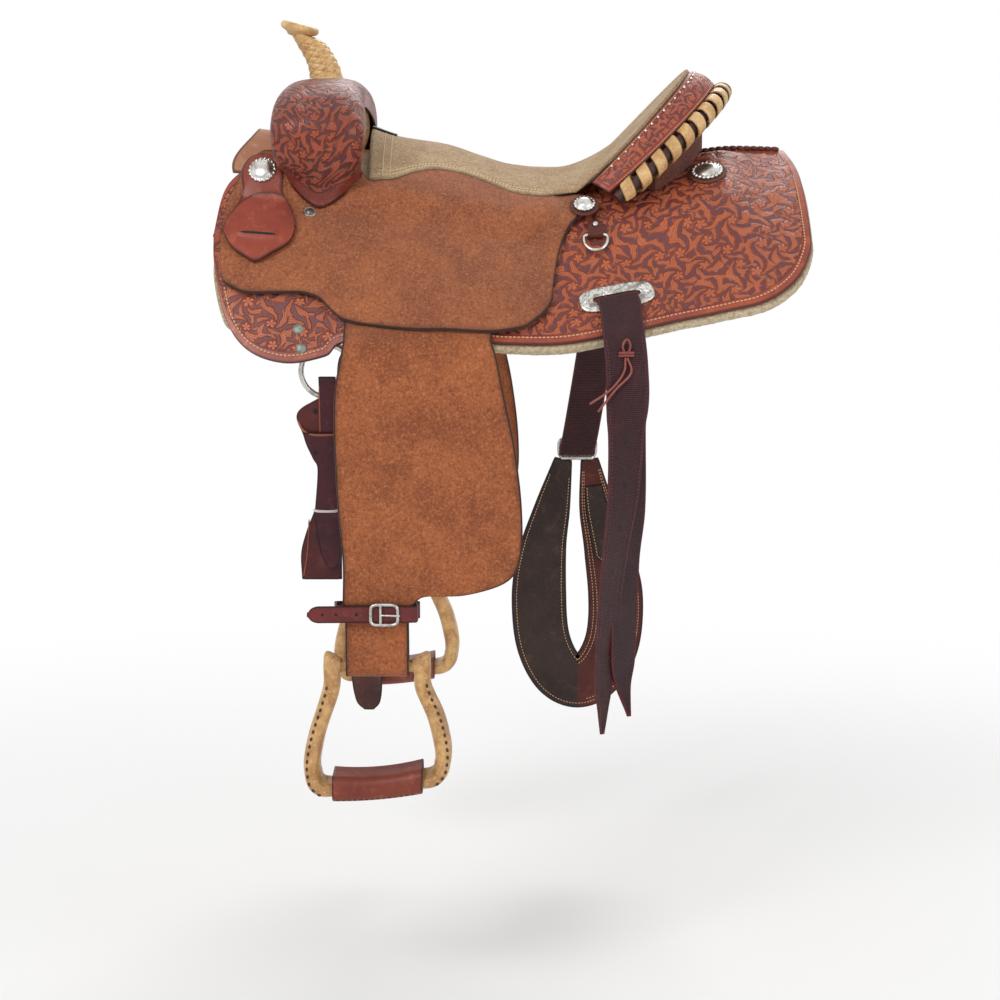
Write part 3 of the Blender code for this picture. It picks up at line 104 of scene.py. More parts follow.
def white_to_view(tree, dim):
    """A shader that is pure white to the camera and in reflections, and the given shader otherwise."""
    path = add(tree, "ShaderNodeLightPath").outputs
    seen = maths(tree, "MAXIMUM", path["Is Camera Ray"], path["Is Glossy Ray"])
    seen = maths(tree, "MAXIMUM", seen, path["Is Transmission Ray"])
    white = add(tree, "ShaderNodeBackground", {"Color": (1, 1, 1, 1), "Strength": 1.0})
    return add(tree, "ShaderNodeMixShader", {0: seen, 1: dim, 2: white.outputs[0]})


world = bpy.data.worlds.new("room")
world.use_nodes = True
bpy.context.scene.world = world
tree = world.node_tree
tree.nodes.clear()
soft = add(tree, "ShaderNodeBackground", {"Color": (1, 1, 1, 1), "Strength": 0.52})
add(tree, "ShaderNodeOutputWorld", {"Surface": white_to_view(tree, soft.outputs[0]).outputs[0]})

for name, place, aim, size, power in (("key", (-1.6, -2.4, 1.9), (0.0, 0.0, -0.1), 1.6, 50.0),
                                      ("fill", (2.2, -2.0, 0.8), (0.0, 0.0, -0.2), 1.8, 20.0),
                                      ("back", (0.5, 2.4, 2.0), (0.0, 0.0, 0.0), 1.8, 40.0)):
    lamp = bpy.data.lights.new(name, "AREA")
    lamp.size, lamp.energy = size, power
    stand = bpy.data.objects.new(name, lamp)
    stand.location = place
    gaze = np.array(aim) - np.array(place)
    flat = math.hypot(gaze[0], gaze[1])
    stand.rotation_euler = (math.atan2(flat, -gaze[2]), 0.0, math.atan2(gaze[1], gaze[0]) - math.pi / 2)
    bpy.context.scene.collection.objects.link(stand)

FLOOR_REACH, FLOOR_HEIGHT = 9.0, -0.86
ground = bpy.data.meshes.new("floor")
corners = [(x * FLOOR_REACH, y * FLOOR_REACH, FLOOR_HEIGHT) for x, y in ((-1, -1), (1, -1), (1, 1), (-1, 1))]
ground.from_pydata(corners, [], [(0, 1, 2, 3)])
pale = bpy.data.materials.new("pale_floor")
pale.use_nodes = True
tree = pale.node_tree
tone = add(tree, "ShaderNodeMapRange", {"Value": noise(tree, None, 0.8, 2.0), "To Min": 0.93, "To Max": 0.97})
tone = add(tree, "ShaderNodeCombineColor", {k: tone.outputs[0] for k in range(3)})
plain = tree.nodes["Principled BSDF"]
join(tree, plain, {"Base Color": tone.outputs[0], "Roughness": 0.9})
spot = add(tree, "ShaderNodeVectorMath", {0: add(tree, "ShaderNodeTexCoord").outputs["Object"]}, operation="LENGTH")
far = ramp(tree, spot.outputs["Value"], 0.9, 2.0)
glow = add(tree, "ShaderNodeEmission", {"Color": (1, 1, 1, 1), "Strength": 1.0})
far_seen = maths(tree, "MULTIPLY", far, add(tree, "ShaderNodeLightPath").outputs["Is Camera Ray"])
mixed = add(tree, "ShaderNodeMixShader", {0: far_seen, 1: plain.outputs[0], 2: glow.outputs[0]})
join(tree, tree.nodes["Material Output"], {"Surface": mixed.outputs[0]})
ground.materials.append(pale)
floor = bpy.data.objects.new("floor", ground)
bpy.context.scene.collection.objects.link(floor)


# Skirts
# Two broad flaps of 4.5 mm saddle leather, flower-tooled on the grain side, that carry everything
# on the sides; the rear half passes over the tree, and a row of stitches follows the lower edge.
SIDES = (("near", -1.0), ("off", 1.0))
SIDE_RADIUS = 0.50
RIDGE_HEIGHT = [(-0.34, 0.135), (-0.25, 0.122), (-0.167, 0.103), (-0.08, 0.083), (0.0, 0.062),
                (0.05, 0.058), (0.12, 0.066), (0.20, 0.081), (0.26, 0.088), (0.33, 0.086)]
RIDGE_SLOPE = [(-0.34, 30.0), (-0.20, 26.0), (0.0, 18.0), (0.20, 21.0), (0.34, 22.0)]
SKIRT_TOP = [(-0.330, 0.205), (-0.322, 0.147), (-0.307, 0.116), (-0.283, 0.094), (-0.256, 0.088),
             (-0.236, 0.120), (-0.205, 0.166), (-0.100, 0.160), (0.020, 0.152), (0.050, 0.146),
             (0.066, 0.115), (0.078, 0.070), (0.096, 0.040), (0.128, 0.028), (0.190, 0.008),
             (0.225, 0.0035), (0.318, 0.0035)]
SKIRT_LOW = [(-0.330, 0.205), (-0.327, 0.245), (-0.312, 0.307), (-0.286, 0.341), (-0.245, 0.352),
             (-0.202, 0.339), (-0.170, 0.318), (-0.011, 0.305), (0.142, 0.285), (0.241, 0.275),
             (0.282, 0.262), (0.314, 0.233), (0.331, 0.195), (0.334, 0.160), (0.330, 0.060),
             (0.318, 0.0035)]
LAYER = 0.0010
SKIRT_LEATHER = 0.0045
BAR_EDGE, BAR_CROWN = 0.003, 0.0145


def smooth_value(x, knots):
    """A curve through the knots without overshoot: a Hermite cubic whose slopes are harmonic means."""
    table = np.array(knots, float)
    places, values = table[:, 0], table[:, 1]
    rise = np.diff(values) / np.diff(places)
    slope = np.concatenate([rise[:1], np.zeros(len(rise) - 1), rise[-1:]])
    for i in range(1, len(places) - 1):
        if rise[i - 1] * rise[i] > 0:
            slope[i] = 2 * rise[i - 1] * rise[i] / (rise[i - 1] + rise[i])
    x = np.clip(np.asarray(x, float), places[0], places[-1])
    i = np.clip(np.searchsorted(places, x) - 1, 0, len(places) - 2)
    width = places[i + 1] - places[i]
    t = (x - places[i]) / width
    start = values[i] * (2 * t**3 - 3 * t**2 + 1) + slope[i] * width * (t**3 - 2 * t**2 + t)
    return start + values[i + 1] * (3 * t**2 - 2 * t**3) + slope[i + 1] * width * (t**3 - t**2)


def ease(t):
    """Rises from 0 to 1 while t does, as three t squared less two t cubed."""
    t = np.clip(t, 0.0, 1.0)
    return t * t * (3 - 2 * t)


def unit(vectors):
    """Vectors of length one, each in its own direction."""
    return vectors / np.linalg.norm(vectors, axis=-1, keepdims=True)


def circle(count):
    """Angles at even steps once round."""
    return np.linspace(0, 2 * np.pi, count, endpoint=False)


def run_of(line):
    """Metres along a line from its first point to each of its points."""
    return np.concatenate([[0], np.cumsum(np.linalg.norm(np.diff(line, axis=0), axis=1))])


def spline(points, count):
    """Points at even steps along a Catmull-Rom curve through the given points."""
    p = np.array(points, float)
    ends = np.vstack([2 * p[0] - p[1], p, 2 * p[-1] - p[-2]])
    t = np.linspace(0, 1, 12, endpoint=False)[:, None]
    fine = []
    for i in range(1, len(ends) - 2):
        a, b, c, d = ends[i - 1], ends[i], ends[i + 1], ends[i + 2]
        fine.append(0.5 * (2 * b + (c - a) * t + (2 * a - 5 * b + 4 * c - d) * t**2
                           + (3 * b - a - 3 * c + d) * t**3))
    fine = np.vstack(fine + [p[-1:]])
    along = run_of(fine)
    steps = np.linspace(0, along[-1], count)
    return np.stack([np.interp(steps, along, fine[:, k]) for k in range(p.shape[1])], axis=1)


def on_side(x, s, lift, side):
    """The point at x along, s down the side from the ridge and lift out: an arc of one radius
    that starts at the ridge's slope."""
    x, s, lift = np.broadcast_arrays(np.asarray(x, float), np.asarray(s, float), np.asarray(lift, float))
    first = np.radians(smooth_value(x, RIDGE_SLOPE))
    angle = first + s / SIDE_RADIUS
    out = SIDE_RADIUS * (np.sin(angle) - np.sin(first)) + lift * np.sin(angle)
    up = smooth_value(x, RIDGE_HEIGHT) - SIDE_RADIUS * (np.cos(first) - np.cos(angle)) + lift * np.cos(angle)
    return np.stack([x, side * out, up], axis=-1)


def bar_face(x, s):
    """How far the tree bar's upper face stands out of the skirt: an edge and a rounded crown."""
    swell = ease((s - 0.050) / 0.085) * ease((0.163 - s) / 0.040)
    return LAYER + BAR_EDGE + BAR_CROWN * swell * (1 - 0.75 * ease((x - 0.020) / 0.060))


def skirt_rise(x, s):
    """How far the skirt's grain side stands up where it passes over the bar behind the seat."""
    over = ease((x - 0.026) / 0.022) * ease((0.285 - x) / 0.045)
    ridge = ease((s - 0.004) / 0.028) * ease((0.205 - s) / 0.060)
    return (bar_face(x, s) + LAYER + 0.0024 + SKIRT_LEATHER) * over * ridge


def piece(name, points, faces, material, uv=None, edge=None, angle=40):
    """An object from arrays, with doubles merged and faces turned outwards.
    uv holds metres along and across at each point, edge the distance to the piece's border."""
    mesh = bpy.data.meshes.new(name)
    points = np.asarray(points, float).reshape(-1, 3)
    mesh.from_pydata(points.tolist(), [], [tuple(map(int, f)) for f in faces])
    corner = np.zeros(len(mesh.loops), int)
    mesh.loops.foreach_get("vertex_index", corner)
    if uv is not None:
        layer = mesh.uv_layers.new(name="run")
        layer.data.foreach_set("uv", np.asarray(uv, float).reshape(-1, 2)[corner].ravel())
    mark = mesh.attributes.new("edge", "FLOAT", "POINT")
    border = np.full(len(points), 0.02) if edge is None else np.asarray(edge, float).ravel()
    mark.data.foreach_set("value", border)
    cage = bmesh.new()
    cage.from_mesh(mesh)
    bmesh.ops.remove_doubles(cage, verts=cage.verts, dist=2e-6)
    bmesh.ops.recalc_face_normals(cage, faces=cage.faces)
    cage.to_mesh(mesh)
    cage.free()
    mesh.materials.append(material)
    mesh.shade_smooth()
    mesh.set_sharp_from_angle(angle=math.radians(angle))
    item = bpy.data.objects.new(name, mesh)
    bpy.context.scene.collection.objects.link(item)
    return item


def grid_faces(rows, columns, start=0, wrap=False):
    """Quads of a grid of rows and columns, joined round the columns where wrap is set."""
    i, j = np.meshgrid(np.arange(rows - 1), np.arange(columns if wrap else columns - 1), indexing="ij")
    k = (j + 1) % columns
    quads = np.stack([i * columns + j, i * columns + k, (i + 1) * columns + k, (i + 1) * columns + j], axis=-1)
    return quads.reshape(-1, 4) + start


def run_lengths(grid):
    """Metres along the columns and along the rows from the first point of each, and the nearest border."""
    across = np.linalg.norm(np.diff(grid, axis=1), axis=2)
    down = np.linalg.norm(np.diff(grid, axis=0), axis=2)
    u = np.pad(np.cumsum(across, axis=1), ((0, 0), (1, 0)))
    v = np.pad(np.cumsum(down, axis=0), ((1, 0), (0, 0)))
    border = np.minimum(np.minimum(u, u[:, -1:] - u), np.minimum(v, v[-1:] - v))
    return u, v, border


def shell(name, outer, inner, material, uv=None, bulge=0.18):
    """A closed sheet between two grids. Its border is rounded by two rings between the grids,
    pushed out along the surface by a share of the thickness."""
    rows, columns = outer.shape[:2]
    u, v, border = run_lengths(outer)
    own = np.stack([u, v], axis=-1) if uv is None else np.asarray(uv, float)
    order = [(0, j) for j in range(columns)] + [(i, columns - 1) for i in range(1, rows)]
    order += [(rows - 1, j) for j in range(columns - 2, -1, -1)] + [(i, 0) for i in range(rows - 2, 0, -1)]
    i, j = np.array(order).T
    near_i, near_j = np.clip(i, 1, rows - 2), np.clip(j, 1, columns - 2)
    push = outer[i, j] - outer[near_i, near_j]
    push /= np.maximum(np.linalg.norm(push, axis=1, keepdims=True), 1e-9)
    thick = np.linalg.norm(outer[i, j] - inner[i, j], axis=1, keepdims=True)
    rings = [outer[i, j] * (1 - t) + inner[i, j] * t + push * thick * bulge for t in (0.22, 0.78)]
    count, ring = rows * columns, len(order)
    points = np.concatenate([outer.reshape(-1, 3), inner.reshape(-1, 3), *rings])
    faces = [grid_faces(rows, columns), grid_faces(rows, columns, count)[:, ::-1]]
    top = i * columns + j
    levels = [top, np.arange(ring) + 2 * count, np.arange(ring) + 2 * count + ring, top + count]
    for a, b in zip(levels, levels[1:]):
        faces.append(np.stack([np.roll(a, -1), a, b, np.roll(b, -1)], axis=1))
    flat = own.reshape(-1, 2)
    coords = np.concatenate([flat, flat, flat[top], flat[top]])
    inside = border.ravel()
    edge = np.concatenate([inside, inside, np.zeros(2 * ring)])
    return piece(name, points, np.concatenate(faces), material, coords, edge)


def panel(name, side, top, low, columns, rows, outer, inner, material):
    """A closed sheet on the side between a top line and a low line that share their ends,
    with its rows closer together near both lines."""
    upper, lower = spline(top, columns), spline(low, columns)
    t = np.linspace(0, 1, rows)
    down = (t - 0.10 * np.sin(2 * np.pi * t))[:, None, None]
    place = upper[None] * (1 - down) + lower[None] * down
    x, s = place[..., 0], place[..., 1]
    return shell(name, on_side(x, s, outer(x, s), side), on_side(x, s, inner(x, s), side), material, place)


def thread(name, path, out, material, pitch=0.0042, length=0.0031, width=0.0013, sunk=0.25):
    """A row of stitches: short round-ended beads laid end to end along a path on a surface
    whose outward direction is given, as a stretched six-sided bead at each even step."""
    path, out = np.asarray(path, float), np.broadcast_to(np.asarray(out, float), np.shape(path))
    along = run_of(path)
    count = max(2, int(along[-1] / pitch))
    steps = (np.arange(count) + 0.5) * along[-1] / count
    centre, up, before, after = (np.stack([np.interp(at, along, line[:, k]) for k in range(3)], axis=1)
                                 for at, line in ((steps, path), (steps, out), (steps - 0.0005, path),
                                                  (steps + 0.0005, path)))
    ahead = unit(after - before)
    up = unit(up - ahead * np.sum(up * ahead, axis=1, keepdims=True))
    wide = np.cross(up, ahead)
    turn = circle(6)
    bead = [(-0.5, 0.0, 0.0)]
    for place, size in ((-0.42, 0.6), (-0.2, 1.0), (0.2, 1.0), (0.42, 0.6)):
        bead += [(place, size * 0.5 * math.cos(a), size * 0.5 * math.sin(a)) for a in turn]
    bead = np.array(bead + [(0.5, 0.0, 0.0)])
    points = (centre[:, None] + ahead[:, None] * bead[:, :1] * length + wide[:, None] * bead[:, 1:2] * width
              + up[:, None] * (bead[:, 2:] + sunk) * width)
    one = [(0, 1 + (k + 1) % 6, 1 + k) for k in range(6)]
    one += [(25, 19 + k, 19 + (k + 1) % 6) for k in range(6)]
    strip = grid_faces(4, 6, 1, wrap=True)
    faces = []
    for n in range(count):
        faces += [tuple(v + n * 26 for v in f) for f in one]
    faces += (strip[None] + (np.arange(count) * 26)[:, None, None]).reshape(-1, 4).tolist()
    return piece(name, points, faces, material, angle=60)


def group(name, inputs, outputs):
    """An empty shader group with named value, vector or colour sockets."""
    made = bpy.data.node_groups.new(name, "ShaderNodeTree")
    kinds = {"value": "NodeSocketFloat", "vector": "NodeSocketVector", "colour": "NodeSocketColor"}
    for label, kind in inputs:
        made.interface.new_socket(name=label, in_out="INPUT", socket_type=kinds[kind])
    for label, kind in outputs:
        made.interface.new_socket(name=label, in_out="OUTPUT", socket_type=kinds[kind])
    return made, add(made, "NodeGroupInput"), add(made, "NodeGroupOutput")


def times(tree, a, b):
    """Two values multiplied."""
    return maths(tree, "MULTIPLY", a, b)


# carved flowers on a loose lattice, with spiral leaves swept round each, on a matted dark ground
tooling, given, gives = group("flower_tooling", [("Run", "vector"), ("Spacing", "value")],
                              [("Height", "value"), ("Ground", "value"), ("Tint", "value")])
scale = maths(tooling, "DIVIDE", 1.0, given.outputs["Spacing"])
bend = add(tooling, "ShaderNodeTexNoise", {"Vector": given.outputs["Run"], "Scale": 45.0, "Detail": 1.0})
bent = add(tooling, "ShaderNodeVectorMath", {0: bend.outputs["Color"], 1: (0.5, 0.5, 0.5)}, operation="SUBTRACT")
bent = add(tooling, "ShaderNodeVectorMath", {0: bent.outputs[0], "Scale": 0.010}, operation="SCALE")
place = add(tooling, "ShaderNodeVectorMath", {0: given.outputs["Run"], 1: bent.outputs[0]}, operation="ADD")
cells = add(tooling, "ShaderNodeTexVoronoi", {"Vector": place.outputs[0], "Scale": scale, "Randomness": 0.55},
            voronoi_dimensions="2D")
apart = add(tooling, "ShaderNodeVectorMath", {0: place.outputs[0], 1: cells.outputs["Position"]},
            operation="SUBTRACT")
parts = add(tooling, "ShaderNodeSeparateXYZ", {0: apart.outputs[0]})
lot = add(tooling, "ShaderNodeSeparateColor", {0: cells.outputs["Color"]})
span = maths(tooling, "MAXIMUM", cells.outputs["Distance"], 0.02)
angle = maths(tooling, "MULTIPLY_ADD", lot.outputs[0], 6.28,
              maths(tooling, "ARCTAN2", parts.outputs[1], parts.outputs[0]))
petals = maths(tooling, "ABSOLUTE", maths(tooling, "COSINE", times(tooling, angle, 2.5)))
rim = maths(tooling, "MULTIPLY_ADD", maths(tooling, "POWER", petals, 0.55), 0.085, 0.155)
depth = maths(tooling, "SUBTRACT", rim, span)
flower = ramp(tooling, depth, -0.004, 0.012)
cup = times(tooling, ramp(tooling, depth, 0.0, 0.085), ramp(tooling, petals, 0.0, 0.45, 0.55, 1.0))
heart = ramp(tooling, span, 0.062, 0.045)
wind = maths(tooling, "MULTIPLY_ADD", lot.outputs[1], 3.0, 3.2)
sweep = maths(tooling, "ADD", times(tooling, maths(tooling, "ROUND", wind), angle),
              times(tooling, maths(tooling, "LOGARITHM", span, 2.718), 5.5))
wave = maths(tooling, "SINE", sweep)
lobes = add(tooling, "ShaderNodeTexVoronoi",
            {"Vector": place.outputs[0], "Scale": times(tooling, scale, 4.2), "Randomness": 0.8},
            voronoi_dimensions="2D", feature="SMOOTH_F1")
crinkle = maths(tooling, "SUBTRACT", 0.58, lobes.outputs["Distance"])
leafy = maths(tooling, "ADD", wave, times(tooling, crinkle, 1.9))
leaf_mask = ramp(tooling, leafy, -0.12, 0.10)
vein = maths(tooling, "ABSOLUTE", maths(tooling, "SINE", times(tooling, sweep, 3.0)))
leaf_height = times(tooling, ramp(tooling, leafy, -0.1, 0.75), ramp(tooling, vein, 0.0, 0.5, 0.72, 1.0))
outside = maths(tooling, "SUBTRACT", 1.0, ramp(tooling, depth, -0.03, -0.012))
body = times(tooling, leaf_height, outside)
bloom = times(tooling, flower, maths(tooling, "MAXIMUM", cup, times(tooling, heart, 0.9)))
dots = add(tooling, "ShaderNodeTexVoronoi", {"Vector": given.outputs["Run"], "Scale": 900.0},
           voronoi_dimensions="2D")
matted = times(tooling, dots.outputs["Distance"], 0.10)
relief = maths(tooling, "MAXIMUM", maths(tooling, "MAXIMUM", bloom, body), matted)
covered = maths(tooling, "MAXIMUM", flower, times(tooling, leaf_mask, outside))
join(tooling, gives, {"Height": relief, "Ground": maths(tooling, "SUBTRACT", 1.0, covered),
                      "Tint": times(tooling, relief, covered)})

PORE_SIZE = 0.0011

# pores and creases of the hide, and the slow patches that dye and handling leave
hide, given, gives = group("hide_grain", [("Place", "vector"), ("Size", "value")],
                           [("Pores", "value"), ("Patches", "value"), ("Scuffs", "value")])
fine = maths(hide, "DIVIDE", 1.0, given.outputs["Size"])
pores = add(hide, "ShaderNodeTexVoronoi", {"Vector": given.outputs["Place"], "Scale": fine})
nap = noise(hide, given.outputs["Place"], times(hide, fine, 0.6), 4.0, 0.65)
slow = noise(hide, given.outputs["Place"], 14.0, 5.0, 0.6)
scuff = noise(hide, given.outputs["Place"], 60.0, 6.0, 0.75, 0.6)
mixed = maths(hide, "MULTIPLY_ADD", pores.outputs["Distance"], 0.5, times(hide, nap, 0.8))
join(hide, gives, {"Pores": mixed, "Patches": ramp(hide, slow, 0.32, 0.70),
                   "Scuffs": ramp(hide, scuff, 0.50, 0.72)})


def blend(tree, share, a, b, much=1.0):
    """From one colour to the other by a share of so much; each is a socket or three values."""
    mix = add(tree, "ShaderNodeMix", data_type="RGBA")
    tree.links.new(share if much == 1.0 else times(tree, share, much), mix.inputs["Factor"])
    for label, value in (("A", a), ("B", b)):
        socket = [s for s in mix.inputs if s.name == label and s.type == "RGBA"][0]
        if isinstance(value, bpy.types.NodeSocket):
            tree.links.new(value, socket)
        else:
            socket.default_value = (*value, 1.0)
    return [s for s in mix.outputs if s.type == "RGBA"][0]


def scaled(values, by):
    """Three values, each times a number."""
    return tuple(by * c for c in values)


def lit(tree, tone, by):
    """A colour made lighter or darker by a value."""
    return add(tree, "ShaderNodeVectorMath", {0: tone, "Scale": by}, operation="SCALE").outputs[0]


def new_finish(name):
    """A new material with its node tree and the place on the object that it reads."""
    made = bpy.data.materials.new(name)
    made.use_nodes = True
    return made, made.node_tree, add(made.node_tree, "ShaderNodeTexCoord").outputs["Object"]


def border_mark(tree):
    """Metres to the piece's nearest border."""
    return add(tree, "ShaderNodeAttribute", attribute_name="edge").outputs["Fac"]


def carving(tree, spacing):
    """The flower tooling along the piece, with flowers at the given spacing."""
    run = add(tree, "ShaderNodeUVMap", uv_map="run").outputs[0]
    carved = add(tree, "ShaderNodeGroup", node_tree=tooling)
    join(tree, carved, {"Run": run, "Spacing": spacing})
    return carved.outputs


def surfaced(made, tone, rough, height, relief, strength=1.0, **others):
    """The material with its colour, its roughness, a relief in metres and other shader inputs,
    whose names are written with a line in place of each space."""
    tree = made.node_tree
    bump = add(tree, "ShaderNodeBump", {"Height": height, "Strength": strength, "Distance": relief})
    inputs = {"Base Color": tone, "Roughness": rough, "Normal": bump.outputs[0]}
    inputs.update({label.replace("_", " "): value for label, value in others.items()})
    join(tree, tree.nodes["Principled BSDF"], inputs)
    return made


def leather(name, colour, shade, worn, relief=0.25, rough=(0.42, 0.60), tooled=0.0, ground=None, border=0.0085,
            burnish=0.0022):
    """Leather of one colour with darker patches and paler scuffs, a burnished edge, and carving
    where tooled gives the spacing of its flowers; the relief is in millimetres."""
    made, tree, where = new_finish(name)
    grain = add(tree, "ShaderNodeGroup", node_tree=hide)
    join(tree, grain, {"Place": where, "Size": PORE_SIZE})
    grain = grain.outputs
    tone = blend(tree, grain["Patches"], shade, colour)
    tone = blend(tree, grain["Scuffs"], tone, worn, 0.45)
    tone = lit(tree, tone, ramp(tree, grain["Pores"], 0.15, 0.75, 0.80, 1.12))
    height = times(tree, grain["Pores"], 0.18 if tooled else 1.0)
    mark = border_mark(tree)
    if tooled:
        carved = carving(tree, tooled)
        field = ramp(tree, mark, border, border + 0.0006)
        tone = blend(tree, times(tree, carved["Ground"], field), tone, ground, 0.92)
        tone = blend(tree, times(tree, ramp(tree, carved["Tint"], 0.45, 0.95), field), tone, worn, 0.50)
        raised = times(tree, maths(tree, "SUBTRACT", carved["Height"], 1.0), field)
        height = maths(tree, "MULTIPLY_ADD", raised, 3.4, height)
        line = maths(tree, "ABSOLUTE", maths(tree, "SUBTRACT", mark, border - 0.0012))
        cut = ramp(tree, line, 0.0007, 0.0002)
        height = maths(tree, "MULTIPLY_ADD", cut, -1.6, height)
        tone = blend(tree, cut, tone, ground, 0.6)
    tone = blend(tree, ramp(tree, mark, burnish, burnish * 0.3), tone, scaled(shade, 0.22), 0.80)
    gloss = ramp(tree, grain["Patches"], 0.0, 1.0, rough[1], rough[0])
    return surfaced(made, tone, gloss, height, relief * 0.001, Specular_IOR_Level=0.40 if tooled else 0.32)


def cotton(name, colour):
    """Waxed thread: one colour, twisted in fine slanting turns."""
    made, tree, where = new_finish(name)
    ply = add(tree, "ShaderNodeTexWave", {"Vector": where, "Scale": 900.0, "Distortion": 1.0}).outputs["Fac"]
    return surfaced(made, blend(tree, ply, scaled(colour, 0.72), colour), 0.7, ply, 0.0001, 0.5)


def inset(line, distance):
    """A line of places on the side moved square to itself, towards the ridge where distance is positive."""
    ahead = unit(np.gradient(line, axis=0))
    return line + np.stack([ahead[:, 1], -ahead[:, 0]], axis=1) * distance


tooled_skirt = leather("skirt_tooled", (0.36, 0.072, 0.034), (0.23, 0.042, 0.026), (0.60, 0.17, 0.062),
                       relief=0.55, rough=(0.26, 0.42), tooled=0.030, ground=(0.130, 0.034, 0.036), border=0.0125)
cream_thread = cotton("cream_thread", (0.80, 0.50, 0.29))
for word, side in SIDES:
    skirt = panel(f"skirt_dressed_{word}", side, SKIRT_TOP, SKIRT_LOW, 190, 90, skirt_rise,
                  lambda x, s: skirt_rise(x, s) - SKIRT_LEATHER, tooled_skirt)
    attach(skirt, "saddle")
    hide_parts(f"skirt_{word}")
    low = inset(spline(SKIRT_LOW, 400)[26:376], 0.0072)
    x, s = low.T
    path = on_side(x, s, skirt_rise(x, s), side)
    row = thread(f"skirt_stitches_{word}", path, on_side(x, s, skirt_rise(x, s) + 0.01, side) - path, cream_thread,
                 pitch=0.0046, length=0.0035, width=0.0018)
    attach(row, "saddle")


# Fleece
# Wool pile on its hide, glued and sewn under each skirt, clipped a little proud of the leather.
FLEECE_TOP = [(-0.322, 0.212), (-0.313, 0.160), (-0.292, 0.132), (-0.250, 0.124), (-0.190, 0.112),
              (-0.100, 0.050), (0.020, 0.044), (0.120, 0.038), (0.190, 0.018), (0.225, 0.012), (0.311, 0.012)]
FLEECE_WOOL = 0.011


def curls(x, s):
    """Clumps of wool: products of sines whose phases drift, as a height from 0 to 1."""
    a = np.sin(x * 700 + 3 * np.sin(s * 310)) * np.sin(s * 760 + 3 * np.sin(x * 270))
    b = np.sin(x * 1330 + s * 900) * np.sin(s * 1500 - x * 700)
    return 0.5 + 0.35 * a + 0.15 * b


wool, tree, where = new_finish("wool")
clump = noise(tree, where, 260.0, 6.0, 0.75)
lock = add(tree, "ShaderNodeTexVoronoi", {"Vector": where, "Scale": 170.0}).outputs["Distance"]
tone = blend(tree, ramp(tree, clump, 0.3, 0.7), (0.40, 0.28, 0.15), (0.82, 0.68, 0.46))
surfaced(wool, tone, 1.0, maths(tree, "MULTIPLY_ADD", lock, -0.8, clump), 0.0025, Sheen_Weight=0.3)
grown = [(x * 1.004, min(s + 0.004, 0.309)) for x, s in SKIRT_LOW[1:-1]]
FLEECE_LOW = [FLEECE_TOP[0]] + grown + [FLEECE_TOP[-1]]
for word, side in SIDES:
    fleece = panel(f"fleece_dressed_{word}", side, FLEECE_TOP, FLEECE_LOW, 330, 60,
                   lambda x, s: 0 * s - SKIRT_LEATHER - LAYER,
                   lambda x, s: -SKIRT_LEATHER - LAYER - FLEECE_WOOL * (0.86 + 0.18 * curls(x, s)), wool)
    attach(fleece, "saddle")
    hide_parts(f"fleece_{word}")


# Seat jockeys
# Broad rough-out flaps, flesh side out, nailed along the seat and lifted over the fender's leather.
# The cut edge is slicked dark; one screw with a nickel ferrule holds the front to the tree.
SEAT_EDGE = [(-0.160, 0.121), (-0.135, 0.1165), (-0.113, 0.102), (-0.082, 0.086), (-0.049, 0.084),
             (-0.020, 0.091), (0.010, 0.101), (0.045, 0.101), (0.072, 0.098)]
JOCKEY_FRONT = [(-0.321, 0.205), (-0.314, 0.157), (-0.300, 0.124), (-0.284, 0.104), (-0.268, 0.098),
                (-0.256, 0.106), (-0.244, 0.131), (-0.219, 0.1475), (-0.193, 0.128), (-0.176, 0.104),
                (-0.167, 0.108)]
JOCKEY_LOW = [(-0.321, 0.205), (-0.318, 0.259), (-0.306, 0.271), (-0.289, 0.277), (-0.258, 0.275),
              (-0.227, 0.272), (-0.209, 0.277), (-0.194, 0.291), (-0.178, 0.300), (-0.138, 0.305),
              (-0.096, 0.307), (-0.034, 0.301), (0.007, 0.289), (0.028, 0.272), (0.043, 0.250),
              (0.047, 0.219), (0.051, 0.190), (0.060, 0.158), (0.072, 0.138), (0.092, 0.112)]
JOCKEY_LEATHER = 0.0042
FENDER_LEATHER = 0.0045


def jockey_under(x, s):
    """How far the jockey's flesh side stands out of the skirt: over the bar, then over the fender."""
    pocket = ease((x + 0.200) / 0.035 + 1) * ease((-0.004 - x) / 0.035 + 1)
    low = LAYER + (FENDER_LEATHER + LAYER) * pocket
    high = 3 * LAYER + BAR_EDGE + BAR_CROWN
    flat = low + (high - low) * ease((0.172 - s) / 0.045) * ease((x + 0.325) / 0.050)
    return np.maximum(flat, skirt_rise(x, s) + LAYER + 0.0024)


def seat_lift(x, s):
    """How far the jockey's outer face stands out of the skirt."""
    return jockey_under(x, s) + JOCKEY_LEATHER


